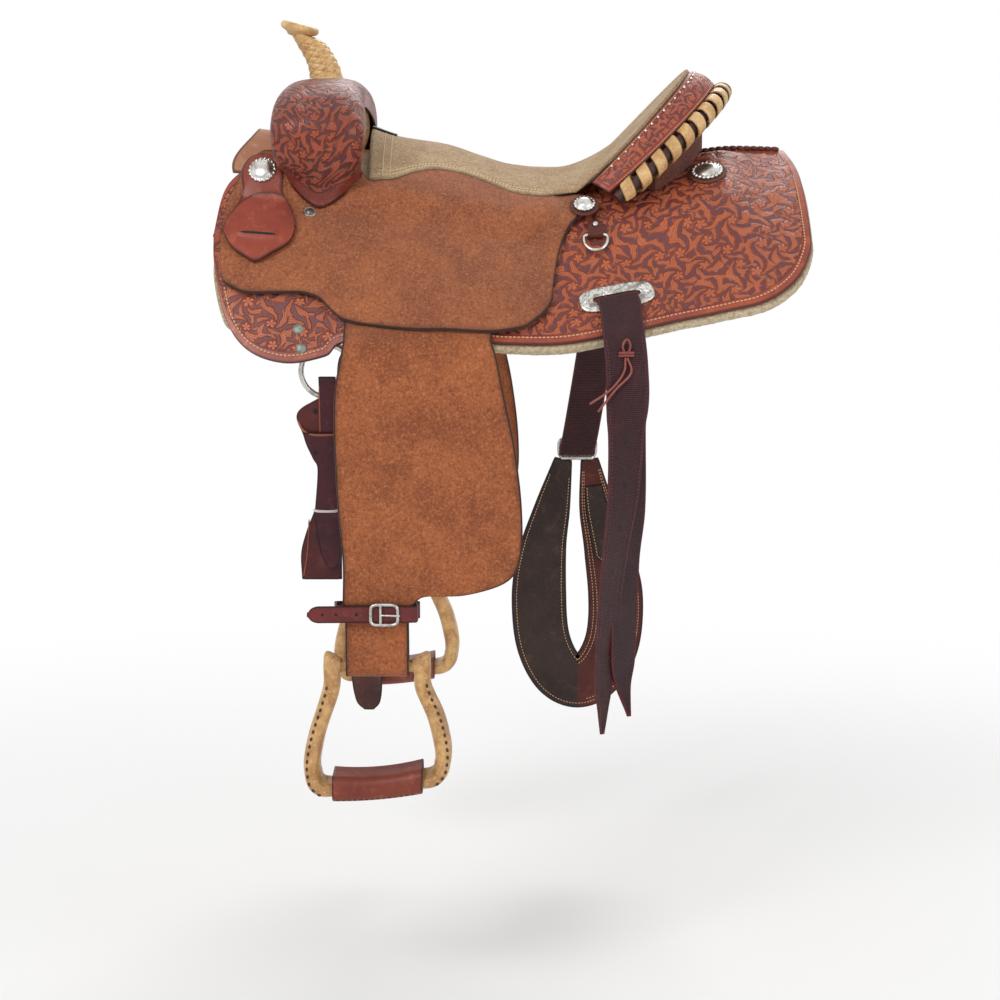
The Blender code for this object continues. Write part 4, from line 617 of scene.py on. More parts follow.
def rough_hide(name, colour, shade, pale, rim=1.0):
    """Rough-out leather: short raised fibre, dark handled patches and pale rubbed ones."""
    made, tree, where = new_finish(name)
    broad = noise(tree, where, 22.0, 8.0, 0.68, 0.3)
    fibre = noise(tree, where, 620.0, 4.0, 0.7)
    fleck = noise(tree, where, 300.0, 6.0, 0.8)
    tone = blend(tree, ramp(tree, broad, 0.34, 0.66), shade, colour)
    tone = blend(tree, ramp(tree, fleck, 0.51, 0.64), tone, pale, 0.60)
    tone = blend(tree, ramp(tree, fleck, 0.48, 0.37), tone, scaled(shade, 0.55), 0.70)
    tone = lit(tree, tone, ramp(tree, fibre, 0.30, 0.70, 0.70, 1.20))
    mark = border_mark(tree)
    smudge = maths(tree, "MULTIPLY_ADD", broad, 0.0070, mark)
    tone = blend(tree, ramp(tree, smudge, 0.0105, 0.0035, 0.0, 0.55 * rim), tone, scaled(shade, 0.40))
    tone = blend(tree, ramp(tree, mark, 0.0017, 0.0007, 0.0, rim), tone, scaled(shade, 0.13))
    height = maths(tree, "MULTIPLY_ADD", fleck, 1.2, fibre)
    return surfaced(made, tone, 0.88, height, 0.0009, Sheen_Weight=0.12, Sheen_Roughness=0.5)


def metal(name, colour, rough, dirt, scale=90.0, engraved=0.0):
    """Plated metal with fine scratches and darker hollows; engraved gives the spacing of cut scrolls."""
    made, tree, where = new_finish(name)
    stain = noise(tree, where, scale, 6.0, 0.7)
    tone = blend(tree, ramp(tree, stain, 0.42, 0.66), colour, dirt)
    height = times(tree, noise(tree, where, 1400.0, 2.0), 0.12)
    if engraved:
        cut = carving(tree, engraved)
        tone = blend(tree, cut["Ground"], tone, dirt, 0.55)
        height = maths(tree, "ADD", cut["Height"], height)
    gloss = ramp(tree, stain, 0.3, 0.7, rough, rough + 0.22)
    return surfaced(made, tone, gloss, height, 0.0002, 0.8, Metallic=1.0)


def capped_faces(rows, sides):
    """Faces of a row of closed rings, and of the fans to the two points that follow them."""
    last = rows * sides
    faces = grid_faces(rows, sides, 0, wrap=True).tolist()
    faces += [(last, (k + 1) % sides, k) for k in range(sides)]
    return faces + [(last + 1, last - sides + k, last - sides + (k + 1) % sides) for k in range(sides)]


def turned(name, centre, axes, profile, material, sides=48, ripple=None, slope=40):
    """A profile of radius and height turned about the out direction, its radius scaled round the
    turn by a ripple where one is given; closed by a point at each end."""
    along, down, out = axes
    turn = circle(sides)
    profile = np.array(profile, float)
    radius = profile[:, :1] * (1.0 if ripple is None else ripple(turn)) + 0 * turn
    spread = radius[..., None] * np.stack([np.cos(turn), np.sin(turn)], axis=1)
    points = centre + spread[..., :1] * along + spread[..., 1:] * down + profile[:, 1, None, None] * out
    ends = centre + out * profile[[0, -1], 1:]
    points = np.concatenate([points.reshape(-1, 3), ends])
    uv = np.concatenate([spread.reshape(-1, 2), np.zeros((2, 2))])
    return piece(name, points, capped_faces(len(profile), sides), material, uv, angle=slope)


def side_axes(x, s, side):
    """Directions at a place on the side: along, down the side and out of it."""
    along = unit(on_side(x + 0.001, s, 0.0, side) - on_side(x - 0.001, s, 0.0, side))
    out = on_side(x, s, 0.001, side) - on_side(x, s, 0.0, side)
    out = unit(out - along * float(out @ along))
    down = np.cross(along, out)
    return along, down * -math.copysign(1.0, down[2]), out


rough_brown = rough_hide("jockey_roughout", (0.40, 0.122, 0.042), (0.27, 0.075, 0.028), (0.56, 0.23, 0.10))
nickel = metal("nickel", (0.62, 0.61, 0.58), 0.20, (0.30, 0.28, 0.25))
dark_iron = metal("screw_steel", (0.16, 0.15, 0.14), 0.35, (0.05, 0.05, 0.05))
SCREW_PLACE = (-0.2235, 0.1670)
joint = np.linspace(SEAT_EDGE[0][0], SEAT_EDGE[-1][0], 16)
jockey_top = JOCKEY_FRONT + list(zip(joint, smooth_value(joint, SEAT_EDGE))) + [(0.081, 0.100), (0.092, 0.112)]
for word, side in SIDES:
    jockey = panel(f"jockey_dressed_{word}", side, jockey_top, JOCKEY_LOW, 170, 60, seat_lift, jockey_under,
                   rough_brown)
    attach(jockey, "saddle")
    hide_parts(f"seat_jockey_{word}")
    axes = side_axes(*SCREW_PLACE, side)
    place = on_side(*SCREW_PLACE, seat_lift(*SCREW_PLACE), side)
    profile = [(0.0070, -0.001), (0.0075, 0.0006), (0.0066, 0.0017), (0.0050, 0.0016), (0.0042, 0.0004)]
    ferrule = turned(f"jockey_ferrule_{word}", place, axes, profile, nickel)
    screw = turned(f"jockey_screw_{word}", place, axes,
                   [(0.0040, 0.0), (0.0040, 0.0010), (0.0028, 0.0018), (0.0010, 0.0020)], dark_iron, 32)
    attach(ferrule, "saddle")
    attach(screw, "saddle")


# Fork cover and gullet liner
# Wet leather stretched over the wooden fork, tooled with flowers inside a plain border, and under
# it an arch of plain leather that passes over the withers from skirt to skirt.
FORK_X = -0.214
FORK_ARCH = [(0.0, 0.1435), (0.062, 0.1415), (0.108, 0.127), (0.134, 0.105), (0.1315, 0.081)]
FORK_DEPTH = [0.0195, 0.0215, 0.0270, 0.0270, 0.0180, 0.0110]
FORK_LENGTH = [0.036, 0.041, 0.047, 0.0480, 0.0430, 0.030]
COVER_LIP = [(0.0470, 0.152, 0.020, 0.012), (0.0480, 0.1635, 0.050, 0.0005)]
COVER_ROOM, COVER_LEATHER = 0.0018, 0.003
FORK_SIDES, FORK_FULLNESS, FORK_FOOT = 14, 0.72, 0.112


def fuller(values, power):
    """Cosines or sines pushed outwards, as a power of their size that keeps their sign."""
    return np.sign(values) * np.abs(values) ** power


def fork_cover_rows(spread, lift):
    """Rows of the fork cover: rings of a fuller circle carried along the arch, then a lip on the jockey."""
    axes = side_axes(FORK_X, FORK_FOOT, 1.0)
    foot = on_side(FORK_X, FORK_FOOT, bar_face(FORK_X, FORK_FOOT) + 0.0035, 1.0)
    half = [*FORK_ARCH, (float(foot[1]), float(foot[2]))]
    steps = spline([(y, z, d, n) for (y, z), d, n in zip(half, FORK_DEPTH, FORK_LENGTH)], 11)
    heading = np.gradient(steps[:, :2], axis=0)
    heading[0], heading[-1] = (1.0, 0.0), (-axes[2][1], -axes[2][2])
    heading = unit(heading)
    turn = circle(FORK_SIDES) + math.pi / FORK_SIDES
    c, s = fuller(np.cos(turn), FORK_FULLNESS), fuller(np.sin(turn), FORK_FULLNESS)
    kept = [k % FORK_SIDES for k in range(-1, FORK_SIDES // 2 + 1)]
    rings = []
    for (y, z, depth, length), (hy, hz) in zip(steps, heading):
        rise = (depth + spread) * s
        rings.append(np.stack([FORK_X + (length + spread) * c, y - hz * rise, z + hy * rise], axis=1))
    arch = np.array([ring * (1, -1, 1) for ring in rings[:0:-1]] + rings)[2:-2, kept]
    lips = []
    for wide, reach, bow, stand in COVER_LIP:
        x = FORK_X + wide * c[kept]
        s = reach - bow * c[kept] ** 2
        lips.append(on_side(x, s, seat_lift(x, s) + LAYER + stand + lift, 1.0))
    off = np.array(lips)
    return np.concatenate([off[::-1] * (1, -1, 1), arch, off])


def finer(grid, steps):
    """Rows between the rows of a grid: a Catmull-Rom curve through each column of points."""
    p = np.concatenate([2 * grid[:1] - grid[1:2], grid, 2 * grid[-1:] - grid[-2:-1]])
    a, b, c, d = p[:-3], p[1:-2], p[2:-1], p[3:]
    t = (np.arange(steps) / steps).reshape((1, -1) + (1,) * (grid.ndim - 1))
    a, b, c, d = (q[:, None] for q in (a, b, c, d))
    rows = 0.5 * (2 * b + (c - a) * t + (2 * a - 5 * b + 4 * c - d) * t**2 + (3 * b - a - 3 * c + d) * t**3)
    return np.concatenate([rows.reshape((-1,) + grid.shape[1:]), grid[-1:]])


def finer_grid(grid, rows, columns):
    """A grid made finer both ways."""
    return np.swapaxes(finer(np.swapaxes(finer(grid, rows), 0, 1), columns), 0, 1)


tooled_fork = leather("fork_tooled", (0.235, 0.038, 0.020), (0.140, 0.024, 0.016), (0.44, 0.105, 0.045),
                      relief=0.55, rough=(0.30, 0.44), tooled=0.025, ground=(0.078, 0.017, 0.018), border=0.016)
outer = finer_grid(fork_cover_rows(COVER_LEATHER + COVER_ROOM, COVER_LEATHER), 8, 8)
inner = finer_grid(fork_cover_rows(COVER_ROOM, 0.0), 8, 8)
cover = shell("fork_cover_dressed", outer, inner, tooled_fork)
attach(cover, "saddle")
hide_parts("fork_cover")

LINER_LEATHER, LINER_FRONT, LINER_BACK, LINER_REACH, RIDGE_ROUND = 0.003, -0.322, -0.190, 0.104, 0.024
depth = np.linspace(-1, 1, 97)[None, :]
run = np.linspace(0, 1, 30)[:, None]
front = LINER_FRONT + 0.030 * (1 - depth**2) ** 2 + 0.008 * depth**4
x = front + (LINER_BACK - front) * run
s = np.abs(depth) * LINER_REACH + 0 * run
flank = on_side(x, s, -SKIRT_LEATHER - LAYER, 1.0)
y = np.sign(depth) * (flank[..., 1] - flank[:, 48:49, 1])
ridge = np.hypot(y, RIDGE_ROUND)
z = flank[..., 2] - np.tan(np.radians(smooth_value(x, RIDGE_SLOPE))) * (ridge - np.abs(y))
outer = np.stack([x, y, z], axis=2)
normal = np.cross(np.gradient(outer, axis=0), np.gradient(outer, axis=1))
normal = unit(normal * np.sign(normal[..., 2:3]))
tan = leather("liner_tan", (0.50, 0.24, 0.125), (0.38, 0.16, 0.085), (0.66, 0.40, 0.24), rough=(0.5, 0.65),
              burnish=0.0035)
liner = shell("liner_dressed", outer, outer - normal * LINER_LEATHER, tan)
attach(liner, "saddle")
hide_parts("gullet_liner")


# Horn
# A steel core bolted to the fork, wound with strips of rawhide plaited over and under, and a small
# flat cap bound in the same rawhide.
HORN_LINE = [(-0.2130, 0.1705), (-0.2175, 0.187), (-0.2265, 0.204), (-0.2400, 0.2205)]
HORN_NECK = [0.0195, 0.0165, 0.0150, 0.0150]
CAP_TILT = math.radians(14.0)
HORN_BORE, STRANDS, CROSSINGS, STRAND_RISE = 0.0082, 6, 7.0, 0.0016


def onto(node, points):
    """Points moved so that their box has the same middle as the node's, which was seated in the frame."""
    flat = points.reshape(-1, 3)
    return points + (np.sum(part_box(node), axis=0) - flat.min(axis=0) - flat.max(axis=0)) / 2


def rings_round(path, radius, first, second, turn):
    """Rings about each point of a path, in the plane of two directions there: the radius times the
    cosine along the first and the sine along the second."""
    first, second = np.atleast_2d(first)[:, None], np.atleast_2d(second)[:, None]
    spread = np.cos(turn)[:, None] * first + np.sin(turn)[:, None] * second
    return path[:, None] + np.asarray(radius)[..., None] * spread


def hoop_faces(rows, sides):
    """Faces of a row of closed rings whose last ring is joined to its first."""
    last = (rows - 1) * sides
    faces = grid_faces(rows, sides, 0, wrap=True).tolist()
    return faces + [(last + k, last + (k + 1) % sides, (k + 1) % sides, k) for k in range(sides)]


def hide_strip(name, colour, shade, pale):
    """Rawhide: hard, yellow and half clear, with darker patches, darker strand borders and a waxy gloss."""
    made, tree, where = new_finish(name)
    broad = noise(tree, where, 55.0, 6.0, 0.62, 0.5)
    streak = noise(tree, where, 420.0, 4.0)
    tone = blend(tree, ramp(tree, broad, 0.36, 0.64), shade, colour)
    tone = blend(tree, ramp(tree, streak, 0.5, 0.75), tone, pale, 0.5)
    # Darker within 1.4 mm of the border mark: painted shade in the gaps between the horn's plaited strands, and a
    # darker band along each side edge of the cantle lace.
    tone = blend(tree, ramp(tree, border_mark(tree), 0.0014, 0.0003, 0.0, 0.75), tone, scaled(shade, 0.30))
    height = maths(tree, "MULTIPLY_ADD", streak, 0.35, broad)
    return surfaced(made, tone, ramp(tree, streak, 0.3, 0.7, 0.34, 0.55), height, 0.0008, 0.7,
                    Subsurface_Weight=0.12, Subsurface_Radius=(0.003, 0.0015, 0.0006), Coat_Weight=0.15)


rawhide = hide_strip("rawhide", (0.72, 0.47, 0.20), (0.50, 0.26, 0.085), (0.86, 0.66, 0.38))
line = spline([(x, 0.0, z, r) for (x, z), r in zip(HORN_LINE, HORN_NECK)], 7)
out = np.array([math.sin(CAP_TILT), 0.0, math.cos(CAP_TILT)])
tangent = np.gradient(line[:, :3], axis=0)
tangent[0] = (0.0, 0.0, 1.0)
share = np.linspace(0, 1, 7)[:, None] ** 2
tangent = unit(unit(tangent) * (1 - share) + out * share)
side_way = np.array([0.0, 1.0, 0.0])
across = finer(np.cross(tangent, side_way), 20)
fine = finer(line, 20)
turn = circle(168)
rise = np.linspace(0, 1, len(fine))[:, None]
right, left = (turn * STRANDS / (2 * np.pi) + way * rise * CROSSINGS for way in (1, -1))
over = (np.floor(right) + np.floor(left)) % 2 == 0
one, two = right % 1.0, left % 1.0
dome_one, dome_two = np.sin(np.pi * one), np.sin(np.pi * two)
weave = np.where(over, dome_one**0.5 * (0.55 + 0.45 * dome_two), dome_two**0.5 * (0.55 + 0.45 * dome_one))
# distance to the nearest strand border, where the rawhide is darkened as painted shade between the strands
gap = 0.0005 + 0.0120 * np.where(over, np.minimum(one, 1 - one), np.minimum(two, 1 - two))
plaited = ease((rise - 0.02) / 0.05) * ease((0.84 - rise) / 0.05)
radius = fine[:, 3:4] + (STRAND_RISE * weave - 0.0009) * plaited
outside, bore = (rings_round(fine[:, :3], size, side_way, across, turn) for size in (radius, HORN_BORE))
skin = np.concatenate([outside, bore[::-1]])
mark = np.where(plaited > 0.5, gap, 0.02)
mark = np.concatenate([mark, np.full_like(mark, 0.02)])
wrap = piece("horn_plait", onto("horn_wrap", skin), hoop_faces(*mark.shape), rawhide, edge=mark, angle=75)
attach(wrap, "saddle")
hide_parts("horn_wrap")

along = np.array([math.cos(CAP_TILT), 0.0, -math.sin(CAP_TILT)])
profile = [(0.0090, -0.0100), (0.0118, -0.0096), (0.0134, -0.0074), (0.0156, -0.0057), (0.0196, -0.0042),
           (0.0219, -0.0020), (0.0225, 0.0004), (0.0219, 0.0028), (0.0200, 0.0044), (0.0176, 0.0050),
           (0.0165, 0.0046), (0.0090, 0.0049), (0.0030, 0.00525)]
middle = np.mean(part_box("horn_cap"), axis=0)
cap = turned("horn_cap_bound", middle, (along, side_way, out), profile, rawhide, 72, slope=60)
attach(cap, "saddle")
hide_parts("horn_cap")
turn = turn[::2, None]
ring = middle + out * 0.0036 + 0.0192 * (np.cos(turn) * along + np.sin(turn) * side_way)
row = thread("horn_cap_stitches", np.vstack([ring, ring[:1]]), out, cream_thread, pitch=0.005, length=0.0034,
             width=0.0013)
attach(row, "saddle")


# Seat
# Foam padding under suede, drawn down over the ground seat and sewn along its lower edge with two
# rows of cream thread; two upright rows join the front piece.
SEAT_CROWN = [(-0.160, 0.112), (-0.128, 0.1015), (-0.073, 0.0925), (-0.035, 0.0800), (0.004, 0.0690),
              (0.035, 0.0665)]
SEAT_EDGE_THICKNESS, SEAT_PAD = 0.0040, 0.009
SEAT_FRONT, SEAT_BEND = -0.158, 0.035
CANTLE_END = (0.074, 0.104, 0.043)
CANTLE_TOP = (0.203, 0.0, 0.178)


def seat_edge_line(x):
    """Where the seat's outer edge lies on the jockey, off side: half width and height."""
    s = smooth_value(x, SEAT_EDGE) - 0.0018
    spot = on_side(x, s, seat_lift(x, s), 1.0)
    return spot[..., 1], spot[..., 2]


def rim_point(a):
    """The cantle's rim, from the near end at a = -1 over the top at 0 to the off end at 1."""
    a = np.asarray(a, float)
    turn = (1 - np.abs(a)) * math.pi / 2
    end, top = np.array(CANTLE_END), np.array(CANTLE_TOP)
    return np.stack([end[0] + (top[0] - end[0]) * np.sin(turn), np.sign(a) * end[1] * np.cos(turn),
                     end[2] + (top[2] - end[2]) * np.sin(turn) ** 1.06], axis=-1)


def seat_surface(across, front_rows, rear_rows):
    """The seat's upper face: crowned rows behind the fork, then quadratic curves up to the cantle's rim."""
    a = np.linspace(-1, 1, across)
    rows = []
    for x in np.linspace(SEAT_FRONT, SEAT_BEND, front_rows):
        half, low = seat_edge_line(x)
        z = low + (smooth_value(x, SEAT_CROWN) - low) * (1 - np.abs(a) ** 1.9)
        rows.append(np.stack([np.full_like(a, x), a * half, z], axis=-1))
    start, rim = rows[-1], rim_point(a)
    bend = start.copy()
    bend[:, 0] = np.minimum(SEAT_BEND + 0.070 * (1 - np.abs(a) ** 3), rim[:, 0] * 0.55 + SEAT_BEND * 0.45 + 0.010)
    bend[:, 2] -= 0.010 * (1 - a**2)
    for t in np.linspace(0, 1, rear_rows)[1:]:
        rows.append(start * (1 - t) ** 2 + bend * 2 * t * (1 - t) + rim * t**2)
    return np.array(rows)


seat_thread = cotton("seat_thread", (0.88, 0.72, 0.46))
suede = rough_hide("suede", (0.55, 0.375, 0.205), (0.42, 0.265, 0.130), (0.68, 0.52, 0.34), rim=0.25)
top = seat_surface(121, 70, 60)
up = np.cross(np.gradient(top, axis=0), np.gradient(top, axis=1))
up = unit(up * np.sign(up[..., 2:3]))
rows, count = top.shape[:2]
a = np.abs(np.linspace(-1, 1, count))[None, :, None]
b = np.linspace(0, 1, rows)[:, None, None]
hem = ease((1 - a) / 0.22) * ease((1 - b) / 0.12) * ease(b / 0.08 + 0.2)
groove = np.exp(-((1 - a) / 0.035 - 2.2) ** 2) * (1 - ease((b - 0.56) / 0.06))
puff = 0.0010 * np.sin(np.pi * np.clip((1 - a) / 0.12, 0, 1)) * (1 - groove)
creased = 0.0005 * np.sin(b * 46 + 3 * a) * np.exp(-((b - 0.55) / 0.10) ** 2) * (1 - a**2)
face = top + up * (puff - 0.0009 * groove + creased)
thick = SEAT_EDGE_THICKNESS + (SEAT_PAD - SEAT_EDGE_THICKNESS) * hem
seat = shell("seat_padded", face, top - up * thick, suede, bulge=0.30)
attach(seat, "saddle")
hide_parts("seat")
lengthwise, crosswise = slice(3, 74), slice(4, -4)
seams = {"stitches_near_0": (lengthwise, 3), "stitches_near_1": (lengthwise, 6), "stitches_off_0": (lengthwise, -4),
         "stitches_off_1": (lengthwise, -7), "front_stitches_0": (5, crosswise), "front_stitches_1": (8, crosswise)}
for label, seam in seams.items():
    row = thread(f"seat_{label}", face[seam], up[seam], seat_thread, pitch=0.0040, length=0.0029, width=0.0014,
                 sunk=0.05)
    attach(row, "saddle")


# Cantle
# A tooled band along the rim, a hard roll outside it, and one strip of rawhide laced round the roll
# in twenty turns; silver beads follow the band's upper edge.
BAND_END, BAND_WIDTH, BAND_CROWN, BAND_THICKNESS, LACE_END, LACE_TURNS = 0.93, 0.037, 0.004, 0.005, 0.89, 20
ROLL_RADIUS, LACE_WIDTH, LACE_THICKNESS, LACE_ROOM = 0.0070, 0.0150, 0.0028, 0.0016


def band_direction(a):
    """Which way the cantle band leans out from the rim at each place along it."""
    turn = (1 - np.abs(a)) * math.pi / 2
    lean = np.stack([np.ones_like(a), np.sign(a) * 0.8 * np.cos(turn), -(0.50 + 0.32 * np.sin(2 * turn))], axis=-1)
    return unit(lean)


a = np.linspace(-BAND_END, BAND_END, 241)
rim, lean = rim_point(a), band_direction(a)
lean[120] = (lean[119] + lean[121]) / 2
tangent = unit(np.gradient(rim, axis=0))
face_way = np.cross(tangent, lean)
face_way = unit(face_way * np.sign(face_way[:, 2:3]))
square = np.cross(face_way, tangent)
square *= np.sign(np.sum(square * lean, axis=1, keepdims=True))
seam = SEAT_EDGE_THICKNESS + 0.0006
width = (BAND_WIDTH * (1 - 0.22 * np.abs(a) ** 3) - seam)[:, None]


def on_band(t):
    """A line along the band's crowned face, from its upper edge at t = 0 to its lower one at 1."""
    return rim + lean * (seam + t * width) + face_way * BAND_CROWN * math.sin(math.pi * t)


outer = np.array([on_band(t) for t in np.linspace(0, 1, 25)])
tooled_band = leather("band_tooled", (0.36, 0.070, 0.034), (0.24, 0.045, 0.028), (0.56, 0.16, 0.08), relief=0.35,
                      rough=(0.34, 0.48), tooled=0.022, ground=(0.120, 0.030, 0.032), border=0.0060)
band = shell("band_dressed", outer, outer - face_way[None] * BAND_THICKNESS, tooled_band)
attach(band, "saddle")
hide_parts("cantle_band")
for k, (share, size) in enumerate(((0.10, 0.0009), (0.93, 0.0010))):
    row = thread(f"band_stitches_{k}", on_band(share)[6:-6], face_way[6:-6], cream_thread, pitch=0.0034,
                 length=0.0025, width=size)
    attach(row, "saddle")
bright = metal("silver", (0.70, 0.69, 0.66), 0.16, (0.34, 0.31, 0.27))
beads = thread("band_silver_beads", on_band(0.17)[10:-10], face_way[10:-10], bright, pitch=0.0110, length=0.0036,
               width=0.0034, sunk=0.05)
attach(beads, "saddle")
room = LACE_THICKNESS + LACE_ROOM + 0.0004
centre = rim + lean * (seam + width + room + ROLL_RADIUS) - face_way * (BAND_THICKNESS / 2 + 0.001)


def tube(name, rings, material, closed=False, edge=None, angle=60, uv=None):
    """A skin over a row of closed rings, joined into a hoop or capped by a point at each end."""
    count, size = rings.shape[:2]
    if edge is None:
        edge = np.full((count, size), 0.02)
    if uv is None:
        uv = np.stack(np.broadcast_arrays(np.arange(size), np.arange(count)[:, None]), axis=-1) * 0.001
    points, marks, coords = rings.reshape(-1, 3), np.ravel(edge), uv.reshape(-1, 2)
    if not closed:
        points = np.concatenate([points, rings[[0, -1]].mean(axis=1)])
        coords = np.concatenate([coords, coords[[0, -1]]])
        marks = np.concatenate([marks, marks[:1], marks[:1]])
    faces = hoop_faces(count, size) if closed else capped_faces(count, size)
    return piece(name, points, faces, material, coords, marks, angle)


dark = leather("dark_leather", (0.060, 0.024, 0.018), (0.035, 0.014, 0.011), (0.16, 0.07, 0.05), rough=(0.38, 0.55))
roll = tube("roll_dressed", rings_round(centre, ROLL_RADIUS, square, face_way, circle(32)), dark)
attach(roll, "saddle")
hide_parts("cantle_roll")
t = np.linspace(0, 1, LACE_TURNS * 44 + 1)
reach = -LACE_END + 2 * LACE_END * t
core, outward, above = (np.stack([np.interp(reach, a, q[:, k]) for k in range(3)], axis=1)
                        for q in (centre, square, face_way))
spin = 2 * math.pi * LACE_TURNS * t[:, None]
radial = np.cos(spin) * outward + np.sin(spin) * above
middle = core + radial * (ROLL_RADIUS + LACE_ROOM + LACE_THICKNESS / 2)
wide = unit(np.cross(unit(np.gradient(middle, axis=0)), radial))
half, thick = LACE_WIDTH / 2, LACE_THICKNESS / 2
corners = [(-1.0, 0.0), (-0.93, 0.6), (-0.75, 0.95), (-0.35, 1.0), (0.35, 1.0), (0.75, 0.95), (0.93, 0.6),
           (1.0, 0.0), (0.93, -0.6), (0.6, -1.0), (-0.6, -1.0), (-0.93, -0.6)]
corners = np.array(corners) * (half, thick)
lace = middle[:, None] + wide[:, None] * corners[:, :1] + radial[:, None] * corners[:, 1:]
mark = half - np.abs(corners[:, 0]) + 0 * lace[..., 0]
strip = tube("lacing_dressed", lace, rawhide, edge=mark)
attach(strip, "saddle")
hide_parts("cantle_lacing")


# Conchos
# Pressed silver domes ringed with berries, screwed through scalloped leather rosettes that take
# the wear.
CONCHO_PROFILE = [(0.86, 0.0002), (0.93, 0.0006), (0.95, 0.0018), (0.86, 0.0027), (0.78, 0.0030), (0.72, 0.0040),
                  (0.58, 0.0053), (0.40, 0.0062), (0.20, 0.0067), (0.06, 0.0068)]


def node_points(name):
    """The corners of a CAD node at rest, in the shared frame."""
    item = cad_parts[name]
    flat = np.zeros(3 * len(item.data.vertices))
    item.data.vertices.foreach_get("co", flat)
    spin = np.array(item.matrix_world)
    return flat.reshape(-1, 3) @ spin[:3, :3].T + spin[:3, 3]


def seated_on(name, side):
    """Where a flat fitting's node stands: the middle of its foot and its three directions, the
    outward one being that in which its points spread least."""
    points = node_points(name)
    out = np.linalg.svd(points - points.mean(axis=0), full_matrices=False)[2][2]
    out *= math.copysign(1.0, out[1] * side)
    along = unit(np.array([1.0, 0.0, 0.0]) - out * out[0])
    down = np.cross(along, out)
    down *= -math.copysign(1.0, down[2])
    ways = (along, down, out)
    reach = points @ np.stack(ways, axis=1)
    low, high = reach.min(axis=0), reach.max(axis=0)
    return along * (low[0] + high[0]) / 2 + down * (low[1] + high[1]) / 2 + out * low[2], ways


def berries(name, centre, axes, radius, count, size, material):
    """Round beads set in a ring: small spheres of six rows and ten sides, set on the rim."""
    turn, round_way = circle(count)[:, None], circle(10)
    spots = centre + radius * (np.cos(turn) * axes[0] + np.sin(turn) * axes[1])
    rise = np.linspace(0, np.pi, 7)[1:-1, None]
    ball = np.stack([np.sin(rise) * np.cos(round_way), np.sin(rise) * np.sin(round_way),
                     np.cos(rise) + 0 * round_way], axis=-1)
    ball = np.concatenate([ball.reshape(-1, 3), [[0, 0, 1.0], [0, 0, -1.0]]]) * size
    one = capped_faces(5, 10)
    faces = [tuple(v + n * len(ball) for v in f) for n in range(count) for f in one]
    return piece(name, spots[:, None] + ball @ np.array(axes), faces, material, angle=70)


rosette_hide = leather("rosette_leather", (0.110, 0.030, 0.020), (0.060, 0.018, 0.013), (0.17, 0.07, 0.045),
                       rough=(0.45, 0.6))
for word, side in SIDES:
    for part, radius, count, wide, lobes in (("front", 0.0155, 18, 0.0, 0), ("seat", 0.0120, 16, 0.0170, 14),
                                             ("rear", 0.0175, 20, 0.0225, 18)):
        foot, axes = seated_on(f"{part}_concho_{word}", side)
        dome = turned(f"{part}_dome_{word}", foot, axes, [(radius * r, h) for r, h in CONCHO_PROFILE], bright, 64)
        rim = berries(f"{part}_berries_{word}", foot + axes[2] * 0.0014, axes, radius * 0.905, count,
                      radius * 0.135, bright)
        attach(dome, "saddle")
        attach(rim, "saddle")
        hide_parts(f"{part}_concho_{word}")
        if wide:
            base, axes = seated_on(f"{part}_rosette_{word}", side)
            cup = [(wide * r, h) for r, h in ((0.90, 0.0), (0.965, 0.0003), (0.985, 0.0012), (0.96, 0.0022),
                                              (0.88, 0.0026), (0.70, 0.0024), (0.30, 0.0022))]
            rosette = turned(f"{part}_rosette_cut_{word}", base, axes, cup, rosette_hide, 144,
                             lambda turn: 1 + 0.045 * (np.abs(np.cos(turn * lobes / 2)) ** 0.6 - 0.6), 55)
            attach(rosette, "saddle")
            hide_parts(f"{part}_rosette_{word}")


# Latigo keepers
# A shaped patch of smooth leather under the front concho, with a slot in a raised lip that holds
# the latigo's tail.
KEEPER_TOP = [(-0.319, 0.206), (-0.309, 0.181), (-0.291, 0.160), (-0.272, 0.155), (-0.253, 0.157),
              (-0.243, 0.175), (-0.238, 0.194)]
KEEPER_LOW = [(-0.319, 0.206), (-0.308, 0.226), (-0.294, 0.236), (-0.280, 0.242), (-0.262, 0.230),
              (-0.244, 0.215), (-0.238, 0.194)]
KEEPER_LIFT, KEEPER_THICKNESS, KEEPER_LIP, KEEPER_SLOT = 0.0030, 0.0036, 0.0011, (-0.2785, 0.2085)
NECK_LEFT = [(-0.2790, 0.1065), (-0.2930, 0.1100), (-0.3010, 0.1220), (-0.3010, 0.1360), (-0.2990, 0.1500),
             (-0.3040, 0.1700)]
NECK_RIGHT = [(-0.2770, 0.1065), (-0.2630, 0.1100), (-0.2550, 0.1220), (-0.2545, 0.1360), (-0.2550, 0.1500),
              (-0.2470, 0.1700)]
smooth_red = leather("keeper_leather", (0.27, 0.044, 0.022), (0.17, 0.027, 0.015), (0.48, 0.13, 0.06), relief=0.12,
                     rough=(0.30, 0.44), burnish=0.0035)
# Near-black leather laid over slots and punched holes: painted shade standing in for the dark inside of each
# hollow.
hole_shade = leather("hole_painted_shade", (0.009, 0.005, 0.004), (0.005, 0.003, 0.003), (0.015, 0.008, 0.006))
